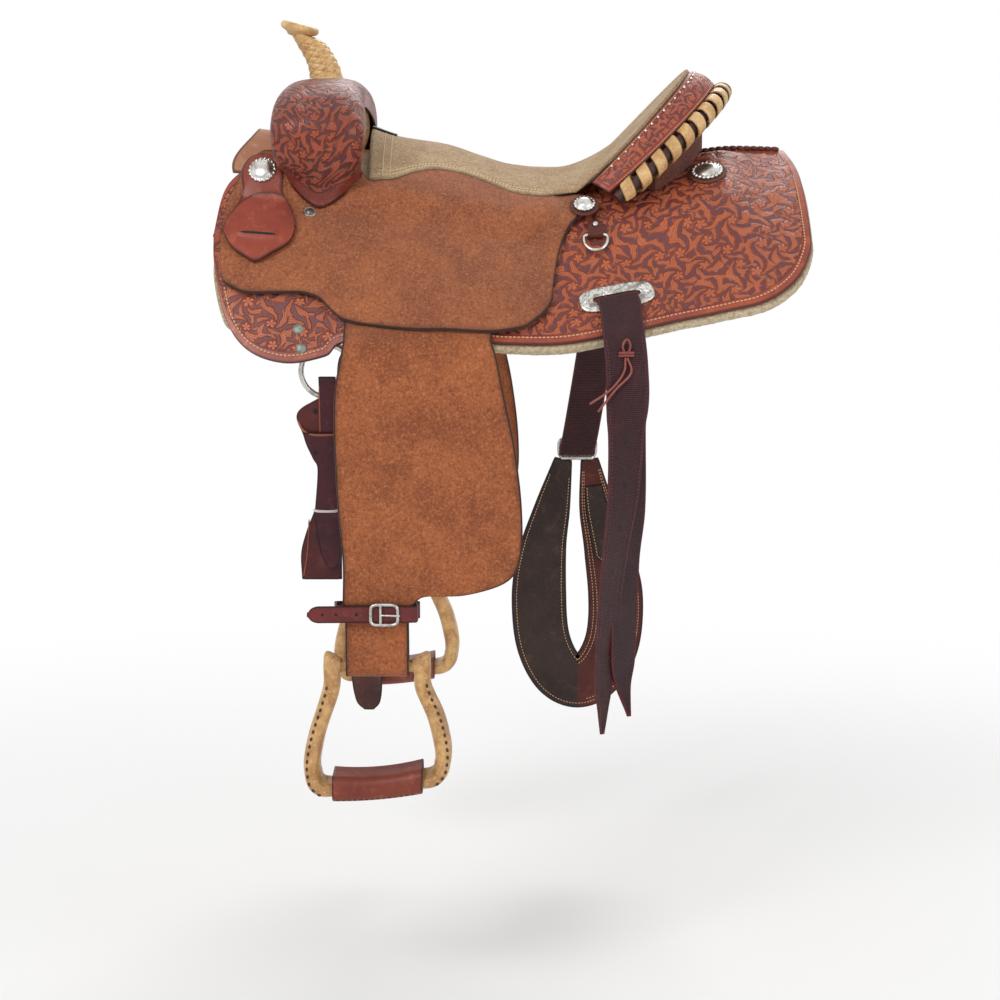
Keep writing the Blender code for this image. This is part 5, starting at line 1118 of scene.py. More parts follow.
for word, side in SIDES:
    upper, lower = spline(KEEPER_TOP, 60), spline(KEEPER_LOW, 60)
    down = np.linspace(0, 1, 30)[:, None, None]
    x, s = np.moveaxis(upper * (1 - down) + lower * down, -1, 0)
    low_u, low_v = (x - KEEPER_SLOT[0]) / 0.0215, (s - KEEPER_SLOT[1]) / 0.0032
    lip = KEEPER_LIP * np.exp(-np.maximum(np.abs(low_u) ** 6 + low_v**2 - 1, 0) / 1.2)
    base = seat_lift(x, s) + KEEPER_LIFT
    outer, inner = (on_side(x, s, base + lift, side) for lift in (KEEPER_THICKNESS + lip, 0.0))
    plain = np.stack([on_side(x, s, base + KEEPER_THICKNESS, side), inner])
    shift = (onto(f"latigo_keeper_{word}", plain) - plain)[0, 0, 0]
    patch = shell(f"keeper_patch_{word}", outer + shift, inner + shift, smooth_red)
    over = np.linspace(0, 1, 24)[:, None]
    neck = spline(NECK_LEFT, 50)[:, None] * (1 - over) + spline(NECK_RIGHT, 50)[:, None] * over
    x, s = neck[..., 0], neck[..., 1]
    seat = seat_lift(x, s) + 0.0004
    strip = shell(f"keeper_neck_{word}", on_side(x, s, seat + 0.0020, side), on_side(x, s, seat, side), smooth_red)
    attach(strip, "saddle")
    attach(patch, "saddle")
    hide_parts(f"latigo_keeper_{word}")
    # The slot in the lip is a thin sheet of near-black leather: painted shade for the slot's opening.
    t = np.linspace(-1, 1, 24)
    x = KEEPER_SLOT[0] + 0.0200 * t
    s = KEEPER_SLOT[1] + np.array([-1.0, -0.4, 0.4, 1.0])[:, None] * 0.0013 * (1 - np.abs(t) ** 8)
    height = seat_lift(x, s) + KEEPER_LIFT + KEEPER_THICKNESS + KEEPER_LIP
    slot_shade = shell(f"keeper_slot_{word}", on_side(x, s, height + 0.0002, side) + shift,
                   on_side(x, s, height - 0.0012, side) + shift, hole_shade)
    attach(slot_shade, "saddle")


# Rear dees and their tabs
# A nickel dee turns in a folded tab of smooth leather, riveted below the seat concho.
DEE_WIRE = 0.0019
DEE_OUTLINE = [(-0.0095, 0.0), (0.0095, 0.0), (0.0130, 0.0040), (0.0118, 0.0120), (0.0065, 0.0185),
               (0.0, 0.0200), (-0.0065, 0.0185), (-0.0118, 0.0120), (-0.0130, 0.0040)]


def hoop(path, radius, across, sides=14):
    """Rings of a round wire along a closed flat path: circles set square to its direction."""
    ahead = unit(np.roll(path, -1, axis=0) - np.roll(path, 1, axis=0))
    return rings_round(path, radius, np.cross(across, ahead), across, circle(sides))


def around(points, count):
    """Points at even steps round a closed Catmull-Rom curve through the given points."""
    fine = finer(np.vstack([points[-2:], points, points[:3]]), 12)[24:-24]
    along = run_of(fine)
    steps = np.linspace(0, along[-1], count, endpoint=False)
    return np.stack([np.interp(steps, along, fine[:, k]) for k in range(2)], axis=1)


for word, side in SIDES:
    foot, (along, down, out) = seated_on(f"rear_dee_{word}", side)
    centre = foot + out * DEE_WIRE
    top = centre + down * ((node_points(f"rear_dee_{word}") @ down).min() + DEE_WIRE - centre @ down)
    path = top + around(DEE_OUTLINE, 72) @ np.array([along, down])
    dee = tube(f"dee_wire_{word}", hoop(path, DEE_WIRE, out), nickel, closed=True)
    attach(dee, f"dee_{word}")
    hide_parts(f"rear_dee_{word}")
    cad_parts[f"dee_tab_{word}"].material_slots[0].material = smooth_red
    stud = turned(f"tab_rivet_{word}", top - down * 0.0125 + out * 0.0034, (along, down, out),
                  [(0.0030, -0.0008), (0.0031, 0.0001), (0.0026, 0.0009), (0.0012, 0.0013)], nickel, 24)
    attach(stud, "saddle")


# Slot plates
# Silver plates engraved with scrolls, screwed to the skirt, each with the slot that the rear
# billet comes out of.
PLATE_SIZE, PLATE_SLOT, PLATE_TILT = (0.0840, 0.0330), (0.0530, 0.0076), math.radians(12.0)
engraved = metal("engraved_silver", (0.70, 0.69, 0.66), 0.20, (0.24, 0.22, 0.19), engraved=0.0145)


def plate_axes(word, side):
    """The middle of a slot plate's foot, and its directions along, down and out with its tilt."""
    foot, (along, down, out) = seated_on(f"slot_plate_{word}", side)
    c, s = math.cos(PLATE_TILT), math.sin(PLATE_TILT)
    return foot, (along * c - down * s, down * c + along * s, out)


for word, side in SIDES:
    foot, axes = plate_axes(word, side)
    turn = circle(160)
    full, gap = (np.stack([length / 2 * fuller(np.cos(turn), power), height / 2 * fuller(np.sin(turn), power)],
                          axis=1)
                 for length, height, power in ((*PLATE_SIZE, 0.6), (*PLATE_SLOT, 0.4)))
    levels = [(full * share, h) for share, h in ((0.985, 0.0), (1.0, 0.0006), (0.99, 0.0014), (0.965, 0.0022),
                                                 (0.93, 0.0024), (0.915, 0.0018))]
    levels += [(full * 0.915 * (1 - t) + (gap * 1.12) * t, 0.0018 + 0.0003 * math.sin(math.pi * t))
               for t in np.linspace(0.1, 1, 10)]
    levels += [(gap * 1.06, 0.0023), (gap, 0.0020), (gap, 0.0)]
    coords = np.array([p for p, h in levels])
    rings = np.array([foot + p @ np.array(axes[:2]) + axes[2] * h for p, h in levels])
    skin = np.swapaxes(rings, 0, 1)
    plate = tube(f"plate_engraved_{word}", skin, engraved, closed=True, uv=np.swapaxes(coords, 0, 1), angle=50)
    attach(plate, "saddle")
    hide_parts(f"slot_plate_{word}")
    for k, way in enumerate((-1.0, 1.0)):
        spot = foot + axes[0] * way * 0.0345 + axes[2] * 0.0018
        screw = turned(f"plate_screw_{word}_{k}", spot, seated_on(f"slot_plate_{word}", side)[1],
                       [(0.0021, 0.0), (0.0022, 0.0005), (0.0015, 0.0011), (0.0006, 0.0013)], bright, 24)
        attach(screw, "saddle")


# Fenders and stirrup leathers
# Broad rough-out fenders that come out from under the jockeys and hang free, each sewn to the
# doubled leather that carries its stirrup.
FENDER_HANG = [(0.112, 0.2500), (0.125, 0.2555), (0.150, 0.2615), (0.200, 0.2650), (0.500, 0.2650)]
FENDER_FRONT = [(-0.1810, -0.1120), (-0.1840, -0.130), (-0.1900, -0.165), (-0.1910, -0.210),
                (-0.1880, -0.290), (-0.1830, -0.350), (-0.1835, -0.400)]
FENDER_BACK = [(-0.0215, -0.1120), (-0.0160, -0.130), (-0.0080, -0.170), (0.0030, -0.223), (0.0110, -0.290),
               (0.0100, -0.345), (-0.0050, -0.373), (-0.0500, -0.388), (-0.0950, -0.390), (-0.1080, -0.400)]
NECK_X, NECK_HALF, STRAP_THICKNESS = -0.1470, 0.0340, 0.0040
BOLT_HEIGHT, BOLT_Y, BOLT_RADIUS, STIRRUP_X = -0.4700, 0.2555, 0.0070, -0.1475
ALONG_X, ALONG_Y, ALONG_Z = np.eye(3)
rough_orange = rough_hide("fender_roughout", (0.42, 0.120, 0.036), (0.270, 0.070, 0.022), (0.60, 0.23, 0.085))


def strap(name, path, across, half, thickness, material, columns=9):
    """A flat strap carried along a path, with its direction across and its half width at each point."""
    path = np.asarray(path, float)
    across = np.broadcast_to(across, path.shape)[:, None]
    half = np.broadcast_to(half, len(path))[:, None, None]
    face = unit(np.cross(across[:, 0], np.gradient(path, axis=0)))[:, None] * thickness / 2
    w = half * np.linspace(-1, 1, columns)[:, None]
    middle = path[:, None] + across * w
    coords = np.concatenate([run_of(path)[:, None, None] + 0 * w, w], axis=-1)
    return shell(name, middle + face, middle - face, material, coords)


for word, side in SIDES:
    leg = f"fender_{word}"
    across = np.linspace(0, 1, 50)[:, None]
    hang = spline(FENDER_FRONT, 90)[:, None] * (1 - across) + spline(FENDER_BACK, 90)[:, None] * across
    x, z = hang[..., 0], hang[..., 1]
    y = smooth_value(-z, FENDER_HANG)
    both = np.array([np.stack([x, side * (y + FENDER_LEATHER * half), z], axis=2) for half in (0.5, -0.5)])
    shift = (onto(leg, both) - both)[0, 0, 0]
    outer, inner = both + shift
    lead = []
    for k, s in enumerate((0.262, 0.276, 0.290, 0.302)):
        x = outer[0, :, 0] + 0.004 * (3 - k) / 3
        lead.append([on_side(x, s, lift, side) for lift in (LAYER * 0.6 + FENDER_LEATHER, LAYER * 0.6)])
    skins = [np.concatenate([finer(np.concatenate([start, hung[:3]]), 6)[:24], hung])
             for start, hung in zip(np.swapaxes(lead, 0, 1), (outer, inner))]
    fender = shell(f"fender_hung_{word}", *skins, rough_orange)
    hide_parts(leg)
    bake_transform(fender)
    loop = BOLT_RADIUS + 0.0009 + STRAP_THICKNESS / 2
    ply = [(0.2602, -0.335), (0.2602, -0.372), (0.2565, -0.400), (0.2490, -0.430), (BOLT_Y - loop, -0.452)]
    ply += [(BOLT_Y + loop * math.cos(a), BOLT_HEIGHT + loop * math.sin(a))
            for a in np.linspace(math.pi, 2 * math.pi, 9)]
    ply += [(0.2652, -0.452), (0.2650, -0.425), (0.2650, -0.4045)]
    path = spline([(NECK_X, side * y, z) for y, z in ply], 90) + shift
    neck = strap(f"stirrup_strap_{word}", path, ALONG_X, NECK_HALF, STRAP_THICKNESS, rough_orange, 15)
    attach(neck, leg)
    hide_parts(f"stirrup_leather_{word}")


# Hobble straps
# A narrow latigo-leather strap buckled round each neck below the fender, with punched holes and a
# nickel roller buckle whose tongue lies in one of them.
HOBBLE_ROUND = [(-0.1500, 0.2692), (-0.1860, 0.2694), (-0.1915, 0.2655), (-0.1920, 0.2540), (-0.1860, 0.2472),
                (-0.1090, 0.2472), (-0.1040, 0.2540), (-0.1040, 0.2670), (-0.1090, 0.2722), (-0.1500, 0.2724),
                (-0.2230, 0.2750)]
HOBBLE_TIP, HOBBLE_MIDDLE, HOBBLE_HOLES = HOBBLE_ROUND[-1], -0.1635, (-0.2060, -0.1910, -0.1690)
HOBBLE_HEIGHT, HOBBLE_HALF, HOBBLE_THICKNESS, HOBBLE_WIRE = -0.4080, 0.0090, 0.0022, 0.0019
hobble_red = leather("hobble_leather", (0.150, 0.023, 0.022), (0.085, 0.014, 0.014), (0.30, 0.07, 0.055),
                     relief=0.14, rough=(0.30, 0.46))


def buckle(name, node, wire, material, body):
    """A wire frame buckle standing for a node: a rounded rectangle that fills the node's box."""
    low, high = np.array(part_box(node))
    wide, _, high_half = (high - low) / 2 - wire
    turn = circle(96)
    path = (low + high) / 2 + np.stack([wide * fuller(np.cos(turn), 0.42), 0 * turn,
                                        high_half * fuller(np.sin(turn), 0.42)], axis=1)
    made = tube(name, hoop(path, wire, ALONG_Y), material, closed=True)
    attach(made, body)
    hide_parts(node)
    return low, (low + high) / 2, high


def rod(name, path, radius, material, body, sides=12):
    """A round bar through points: circles square to the path, drawn in at both ends."""
    path = spline(path, 24)
    ahead = unit(np.gradient(path, axis=0))
    first = unit(np.cross(ahead, ALONG_Y if abs(ahead[0, 1]) < 0.8 else ALONG_X))
    t = np.linspace(0, 1, 24)[:, None]
    size = radius * np.clip(np.minimum(t, 1 - t) * 14 + 0.35, 0, 1) ** 0.6
    made = tube(name, rings_round(path, size, first, np.cross(ahead, first), circle(sides)), material)
    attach(made, body)


def punched(name, spots, out, radius, body):
    """Punched holes painted as shade: shallow near-black cups with a worn rim, all facing out, standing in for the
    dark inside of each hole.
    """
    along = unit(np.cross(out, ALONG_Z))
    rim = [(radius, -0.0004), (radius * 1.02, 0.0001), (radius * 0.86, 0.00018), (radius * 0.3, 0.00008)]
    for k, spot in enumerate(spots):
        cup = turned(f"{name}_{k}", np.array(spot), (along, np.cross(out, along), out), rim, hole_shade, 20)
        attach(cup, body)


for word, side in SIDES:
    leg = f"fender_{word}"
    path = finer(np.array([(x, side * y, HOBBLE_HEIGHT) for x, y in HOBBLE_ROUND]), 10)
    path = np.vstack([path[:-3], finer(path[-3:], 10)])
    low, high = np.array(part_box(f"hobble_strap_{word}"))
    shift = (low + high) / 2 - (HOBBLE_MIDDLE, 0, HOBBLE_HEIGHT)
    shift[1] = (low if side < 0 else high)[1] - side * (HOBBLE_TIP[1] + HOBBLE_THICKNESS / 2)
    run = np.cumsum(np.linalg.norm(np.diff(path, axis=0, append=path[-1:]), axis=1))
    left = np.clip((run[-1] - run) / 0.012, 0.0, 1.0)
    half = HOBBLE_HALF * np.maximum(np.sqrt(1 - (1 - left) ** 2), 0.25)
    worn_strap = strap(f"hobble_band_{word}", path + shift, ALONG_Z, half, HOBBLE_THICKNESS, hobble_red)
    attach(worn_strap, leg)
    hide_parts(f"hobble_strap_{word}")
    low, middle, high = buckle(f"hobble_frame_{word}", f"hobble_buckle_{word}", HOBBLE_WIRE, nickel, leg)
    x, y, z = middle
    x -= 0.004
    rod(f"hobble_bar_{word}", [(x, y, high[2] - 0.002), (x, y, z), (x, y, low[2] + 0.002)], 0.0016, nickel, leg)
    tongue = [(x, y + side * 0.0022, z), (x + 0.010, y + side * 0.0028, z),
              (high[0] + 0.0005, y + side * 0.0023, z - 0.0005)]
    rod(f"hobble_tongue_{word}", tongue, 0.0012, nickel, leg)
    (near_x, near_y), (tip_x, tip_y) = HOBBLE_ROUND[-2], HOBBLE_TIP
    reach = [near_y + (tip_y - near_y) * (near_x - x) / (near_x - tip_x) + HOBBLE_THICKNESS / 2
             for x in HOBBLE_HOLES]
    spots = [(x, side * y + shift[1], HOBBLE_HEIGHT + shift[2]) for x, y in zip(HOBBLE_HOLES, reach)]
    punched(f"hobble_hole_{word}", spots, side * ALONG_Y, 0.0016, leg)


# Stirrups
# Wooden bells covered in rawhide that is sewn with dark thongs down both posts, hung on a bolt;
# a leather tread is laced round the foot bar.
STIRRUP_BELL = [(0.000, -0.4762, 0.000, -0.4638, 0.0124), (0.036, -0.4762, 0.036, -0.4638, 0.0124),
                (0.0405, -0.4775, 0.0405, -0.4610, 0.0165), (0.0412, -0.4800, 0.0560, -0.4545, 0.024),
                (0.0408, -0.4860, 0.0590, -0.4680, 0.026), (0.0420, -0.4960, 0.0590, -0.4880, 0.027),
                (0.0450, -0.5060, 0.0640, -0.5050, 0.029), (0.0560, -0.5350, 0.0750, -0.5350, 0.036),
                (0.0625, -0.5630, 0.0815, -0.5650, 0.042), (0.0640, -0.5760, 0.0810, -0.5850, 0.046),
                (0.0630, -0.5850, 0.0760, -0.6010, 0.047), (0.0580, -0.5945, 0.0610, -0.6110, 0.046),
                (0.0300, -0.5955, 0.0300, -0.6105, 0.044), (0.0000, -0.5955, 0.0000, -0.6105, 0.044)]
BELL_COVER, TREAD_SEAM = 1.04, 7
TREAD_HALF, TREAD_DEPTH, TREAD_RISE, TREAD_MIDDLE, TREAD_LEATHER = 0.0500, 0.0248, 0.0089, -0.6030, 0.0035


def leaned(points):
    """The stirrup hangs out of level below its bolt: heights grow along x by the tangent of five degrees."""
    points = np.array(points, float)
    share = ease((BOLT_HEIGHT - 0.010 - points[..., 2]) / 0.050)
    points[..., 2] += (points[..., 0] - STIRRUP_X) * math.tan(math.radians(5.0)) * share
    return points


tread_brown = leather("tread_leather", (0.200, 0.040, 0.022), (0.120, 0.022, 0.014), (0.36, 0.12, 0.07),
                      relief=0.18, rough=(0.34, 0.52), burnish=0.0028)
old_rawhide = hide_strip("stirrup_rawhide", (0.62, 0.37, 0.14), (0.40, 0.19, 0.060), (0.80, 0.58, 0.32))
dark_thong = cotton("dark_thong", (0.085, 0.040, 0.022))
for word, side in SIDES:
    body = f"stirrup_{word}"
    half = np.array(STIRRUP_BELL)
    bell = np.concatenate([half, half[-2:0:-1] * (-1, 1, -1, 1, 1)])
    bell = finer(np.concatenate([bell[-2:], bell, bell[:3]]), 8)[16:-17]
    turn = circle(40) + math.pi / 40
    inside, outside = bell[:, None, 0:2], bell[:, None, 2:4]
    flat = (inside + outside) / 2 + (outside - inside) / 2 * BELL_COVER * fuller(np.cos(turn), 0.7)[:, None]
    y = side * BOLT_Y + bell[:, 4:] / 2 * BELL_COVER * fuller(np.sin(turn), 0.7)
    loose = leaned(np.stack([STIRRUP_X + flat[..., 0], y, flat[..., 1]], axis=-1))
    rings = onto(body, loose)
    shift = rings[0, 0] - loose[0, 0]
    wooden = tube(f"bell_{word}", rings, old_rawhide, closed=True)
    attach(wooden, body)
    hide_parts(body)
    for k, (first, last) in enumerate(((38, 88), (len(rings) - 88, len(rings) - 38))):
        post = rings[first:last]
        outer = np.sign(post[..., 0].mean() - rings[..., 0].mean())
        away = post - post.mean(axis=1, keepdims=True)
        column = int(np.argmax((away @ (0.60 * outer, 0.80 * side, 0.0)).mean(axis=0)))
        row = thread(f"bell_thong_{word}_{k}", post[:, column], away[:, column], dark_thong, pitch=0.0080,
                     length=0.0046, width=0.0030)
        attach(row, body)
    turn = circle(64)
    round_y, round_z = fuller(np.cos(turn), 0.60), np.clip(1.15 * fuller(np.sin(turn), 0.85), -1.0, 1.0)
    ends = [(-1, 0.0), (-1, 0.7), (-0.985, 1.0)]
    skin = ends + [(q, 1.0) for q in np.linspace(-0.94, 0.94, 20)] + [(-q, grow) for q, grow in ends[::-1]]
    levels = []
    for t, grow in skin + [(q, 0.0) for q in np.linspace(0.9, -0.9, 13)]:
        y = (TREAD_DEPTH + grow * TREAD_LEATHER) * round_y
        z = (TREAD_RISE + grow * TREAD_LEATHER) * round_z
        z = z + 0.0045 * t * t * (round_z > 0) - 0.0025 * (1 - t * t) * (round_z < 0)
        levels.append(np.stack([STIRRUP_X + t * TREAD_HALF + 0 * y, side * BOLT_Y + y, TREAD_MIDDLE + z], axis=1))
    levels = leaned(np.array(levels)) + shift
    border = np.minimum(levels[..., 0] - levels[..., 0].min(), levels[..., 0].max() - levels[..., 0])
    tread = tube(f"tread_{word}", levels, tread_brown, closed=True, edge=border)
    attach(tread, body)
    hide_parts(f"stirrup_tread_{word}")
    seam = levels[3:22, TREAD_SEAM + (32 if side < 0 else 0)]
    row = thread(f"tread_stitches_{word}", seam, (0.0, side, -0.6), dark_thong, pitch=0.0062, length=0.0042,
                 width=0.0013)
    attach(row, body)


# Front rigging
# A welded ring in leather each side, the near latigo folded through it and gathered at its waist,
# and the plain off billet.
RING_RADIUS, RING_WIRE, STRAP_LOOP = 0.0285, 0.0030, 0.0074
latigo_red = leather("latigo_leather", (0.088, 0.013, 0.012), (0.048, 0.008, 0.008), (0.20, 0.045, 0.038),
                     relief=0.16, rough=(0.28, 0.44), burnish=0.0018)
latigo_purple = leather("latigo_purple", (0.062, 0.008, 0.014), (0.034, 0.005, 0.009), (0.16, 0.035, 0.045),
                        relief=0.16, rough=(0.26, 0.42), burnish=0.0014)
latigo_edge = leather("latigo_edge", (0.30, 0.085, 0.045), (0.20, 0.055, 0.030), (0.42, 0.16, 0.09))
white_tie = cotton("white_tie", (0.74, 0.70, 0.64))
off_brown = leather("off_billet_leather", (0.070, 0.022, 0.018), (0.040, 0.014, 0.012), (0.17, 0.07, 0.05),
                    rough=(0.36, 0.52))

# at each knot of these straps: x, how far out of its hang the strap lies, height and half width
LATIGO_HANG = [(-0.2098, 0.0, -0.1850, 0.0192), (-0.2122, 0.0006, -0.1952, 0.0217),
               (-0.2095, 0.0008, -0.2100, 0.0190), (-0.2069, 0.0008, -0.2239, 0.0163),
               (-0.2033, 0.0004, -0.2400, 0.0128), (-0.2012, 0.0, -0.2520, 0.0106),
               (-0.2025, 0.0, -0.2900, 0.0120), (-0.2022, 0.0, -0.3000, 0.0142),
               (-0.2060, 0.0006, -0.3211, 0.0186), (-0.2091, 0.0010, -0.3462, 0.0219),
               (-0.2089, 0.0, -0.3755, 0.0215)]
OFF_HANG = [(-0.2010, 0.0, -0.1960, 0.0170), (-0.1990, 0.0, -0.2800, 0.0200), (-0.1920, 0.0, -0.4500, 0.0200),
            (-0.1860, 0.0, -0.5800, 0.0200), (-0.1835, 0.0, -0.6300, 0.0160), (-0.1825, 0.0, -0.6450, 0.0060)]
LATIGO_TURNS = (
    ("inner_turn", 0.0026, [(-0.2005, 0.0034, -0.1500, 0.0090), (-0.2000, 0.0040, -0.1750, 0.0088),
                            (-0.1998, 0.0044, -0.2125, 0.0088)]),
    ("front_turn", 0.0030, [(-0.2085, 0.0078, -0.2110, 0.0185), (-0.2066, 0.0080, -0.2239, 0.0166),
                            (-0.2033, 0.0066, -0.2400, 0.0128), (-0.2010, 0.0052, -0.2517, 0.0105),
                            (-0.2020, 0.0050, -0.2900, 0.0115), (-0.2017, 0.0052, -0.3014, 0.0144),
                            (-0.2003, 0.0058, -0.3149, 0.0136), (-0.1988, 0.0064, -0.3420, 0.0107),
                            (-0.1965, 0.0066, -0.3560, 0.0075), (-0.1985, 0.0066, -0.3618, 0.0020)]))
LATIGO_EDGES = (
    ("mouth", 0.0013, latigo_edge, [(-0.2335, 0.0012, -0.1975), (-0.2270, 0.0062, -0.2085),
                                    (-0.2149, 0.0088, -0.2132), (-0.1912, 0.0088, -0.2130)]),
    ("inner_edge", 0.0008, latigo_edge, [(-0.2090, 0.0048, -0.1600), (-0.2088, 0.0052, -0.1850),
                                         (-0.2085, 0.0054, -0.2110)]),
    ("low_edge", 0.0008, latigo_edge, [(-0.2222, 0.0024, -0.3080), (-0.2245, 0.0034, -0.3450),
                                       (-0.2290, 0.0026, -0.3720)]),
    ("tie", 0.0015, white_tie, [(-0.2170, 0.0030, -0.2970), (-0.2120, 0.0078, -0.2980), (-0.1950, 0.0078, -0.2982),
                                (-0.1885, 0.0040, -0.2975)]))
for word, side, name, hide_way, hang_way in (("near", -1.0, "latigo", latigo_red, LATIGO_HANG),
                                             ("off", 1.0, "off_billet", off_brown, OFF_HANG)):
    x, y, z = np.mean(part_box(f"rigging_ring_{word}"), axis=0)
    turn = circle(96)
    path = np.stack([x + RING_RADIUS * np.cos(turn), y + 0 * turn, z + RING_RADIUS * np.sin(turn)], axis=1)
    ring = tube(f"ring_{word}", hoop(path, RING_WIRE, ALONG_Y, 18), nickel, closed=True)
    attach(ring, name)
    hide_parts(f"rigging_ring_{word}")
    foot, out = z - RING_RADIUS, STRAP_LOOP * -side
    narrow = 0.60 if side < 0 else 1.0
    turned_over = [(x, side * (abs(y) - out * reach), foot - drop, half * narrow)
                   for reach, drop, half in ((0.7, 0.060, 0.0200), (0.85, 0.025, 0.0160))]
    turned_over += [(x, side * (abs(y) + out * math.cos(a)), foot + STRAP_LOOP * math.sin(a), 0.0085)
                    for a in np.linspace(math.pi, 0, 7)]
    hang = side * (abs(y) + out)
    line = spline(turned_over + [(px, hang + side * sway, pz, half) for px, sway, pz, half in hang_way], 150)
    line[:, 2] = np.maximum(line[:, 2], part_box(name)[0][2] + 0.0005)
    worn_strap = strap(f"{name}_dressed", line[:, :3], ALONG_X, line[:, 3], 0.0036, hide_way, 11)
    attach(worn_strap, name)
    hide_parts(name)
    if side < 0:
        for label, thick, knots in LATIGO_TURNS:
            line = spline([(px, hang - lift, pz, half) for px, lift, pz, half in knots], 90)
            turned_back = strap(f"latigo_{label}", line[:, :3], ALONG_X, line[:, 3], thick, latigo_purple, 11)
            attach(turned_back, name)
        for label, radius, finish, knots in LATIGO_EDGES:
            rod(f"latigo_{label}", [(px, hang - lift, pz) for px, lift, pz in knots], radius, finish, name)
        punched("latigo_hole", [(-0.2140, hang - 0.0025, -0.1880)], side * ALONG_Y, 0.0026, name)
        punched("latigo_low_hole", [(-0.2140, hang - 0.0093, -0.2325)], side * ALONG_Y, 0.0024, name)
    else:
        holes = [(-0.1925, hang + 0.0019, -0.4500 - 0.030 * k) for k in range(5)]
        punched("off_billet_hole", holes, side * ALONG_Y, 0.0026, name)


# Rear billets and the flank cinch
# Doubled nylon billets come out of the slot plates; the near one hangs free with a tie string, the
# off one carries the stitched flank cinch on its roller buckle.
BILLET_NEAR = [(0.1215, 0.2360, -0.0990), (0.1235, 0.2440, -0.1150), (0.1255, 0.2500, -0.1400),
               (0.1275, 0.2530, -0.1900), (0.1280, 0.2540, -0.3000), (0.1290, 0.2540, -0.4200),
               (0.1200, 0.2540, -0.5150), (0.1180, 0.2540, -0.5450)]
BILLET_OFF = [(0.1200, 0.2360, -0.0990), (0.1180, 0.2430, -0.1150), (0.1150, 0.2470, -0.1400),
              (0.1080, 0.2480, -0.1900), (0.0950, 0.2460, -0.2700), (0.0880, 0.2450, -0.3080),
              (0.0870, 0.2450, -0.3150)]
BILLET_MOUTH = [(0.0, 0.0008), (0.0030, 0.0023), (0.0085, 0.0022), (0.0180, 0.0025)]
BILLET_HALF, NYLON = 0.0225, 0.003
FRONT_MIDDLE = [(0.100, 0.1240), (0.207, 0.1248), (0.274, 0.1224), (0.342, 0.1140), (0.410, 0.1070),
                (0.479, 0.1031), (0.551, 0.1010)]
FRONT_SEEN = [(0.100, 0.0225), (0.160, 0.0218), (0.207, 0.0195), (0.274, 0.0172), (0.342, 0.0140),
              (0.410, 0.0122), (0.479, 0.0105), (0.520, 0.0050), (0.551, 0.0010)]
BACK_MIDDLE = [(0.100, 0.1240), (0.207, 0.1270), (0.300, 0.1300), (0.358, 0.1260), (0.427, 0.1250),
               (0.496, 0.1245), (0.551, 0.1330)]
BILLET_TAPER = [(0.090, 0.0225), (0.468, 0.0225), (0.510, 0.0110), (0.545, 0.0022), (0.560, 0.0010)]


def webbing(name, colour, shade, hem):
    """Woven nylon: ribs across the strap, a finer twill inside them and a smoother bound edge."""
    made, tree, where = new_finish(name)
    run = add(tree, "ShaderNodeSeparateXYZ", {0: add(tree, "ShaderNodeUVMap", uv_map="run").outputs[0]})
    along, over = run.outputs[0], run.outputs[1]
    slant = maths(tree, "MULTIPLY_ADD", over, 0.7, along)
    rib, twill, cross = (maths(tree, "SINE", times(tree, way, 2 * math.pi / pitch))
                         for way, pitch in ((along, 0.0021), (slant, 0.0011), (over, 0.0013)))
    weave = maths(tree, "MULTIPLY_ADD", times(tree, twill, cross), 0.35, rib)
    dust = noise(tree, where, 38.0, 6.0)
    tone = blend(tree, ramp(tree, weave, -1.0, 0.9), shade, colour)
    tone = blend(tree, ramp(tree, dust, 0.48, 0.75), tone, scaled(colour, 1.6), 0.35)
    tone = blend(tree, ramp(tree, border_mark(tree), 0.0022, 0.0008, 0.0, 0.55), tone, hem)
    return surfaced(made, tone, 0.55, weave, 0.0004, 0.8, Specular_IOR_Level=0.25)


nylon = webbing("nylon_webbing", (0.064, 0.021, 0.024), (0.026, 0.009, 0.011), (0.12, 0.036, 0.038))
nylon_back = webbing("nylon_back", (0.050, 0.017, 0.021), (0.022, 0.008, 0.010), (0.20, 0.018, 0.022))
maroon_thread = cotton("maroon_thread", (0.17, 0.050, 0.055))


def twisted(turn):
    """The direction across a strap that is turned about its own fall by an angle at each point."""
    return np.stack([np.cos(turn), np.sin(turn), 0 * turn], axis=1)


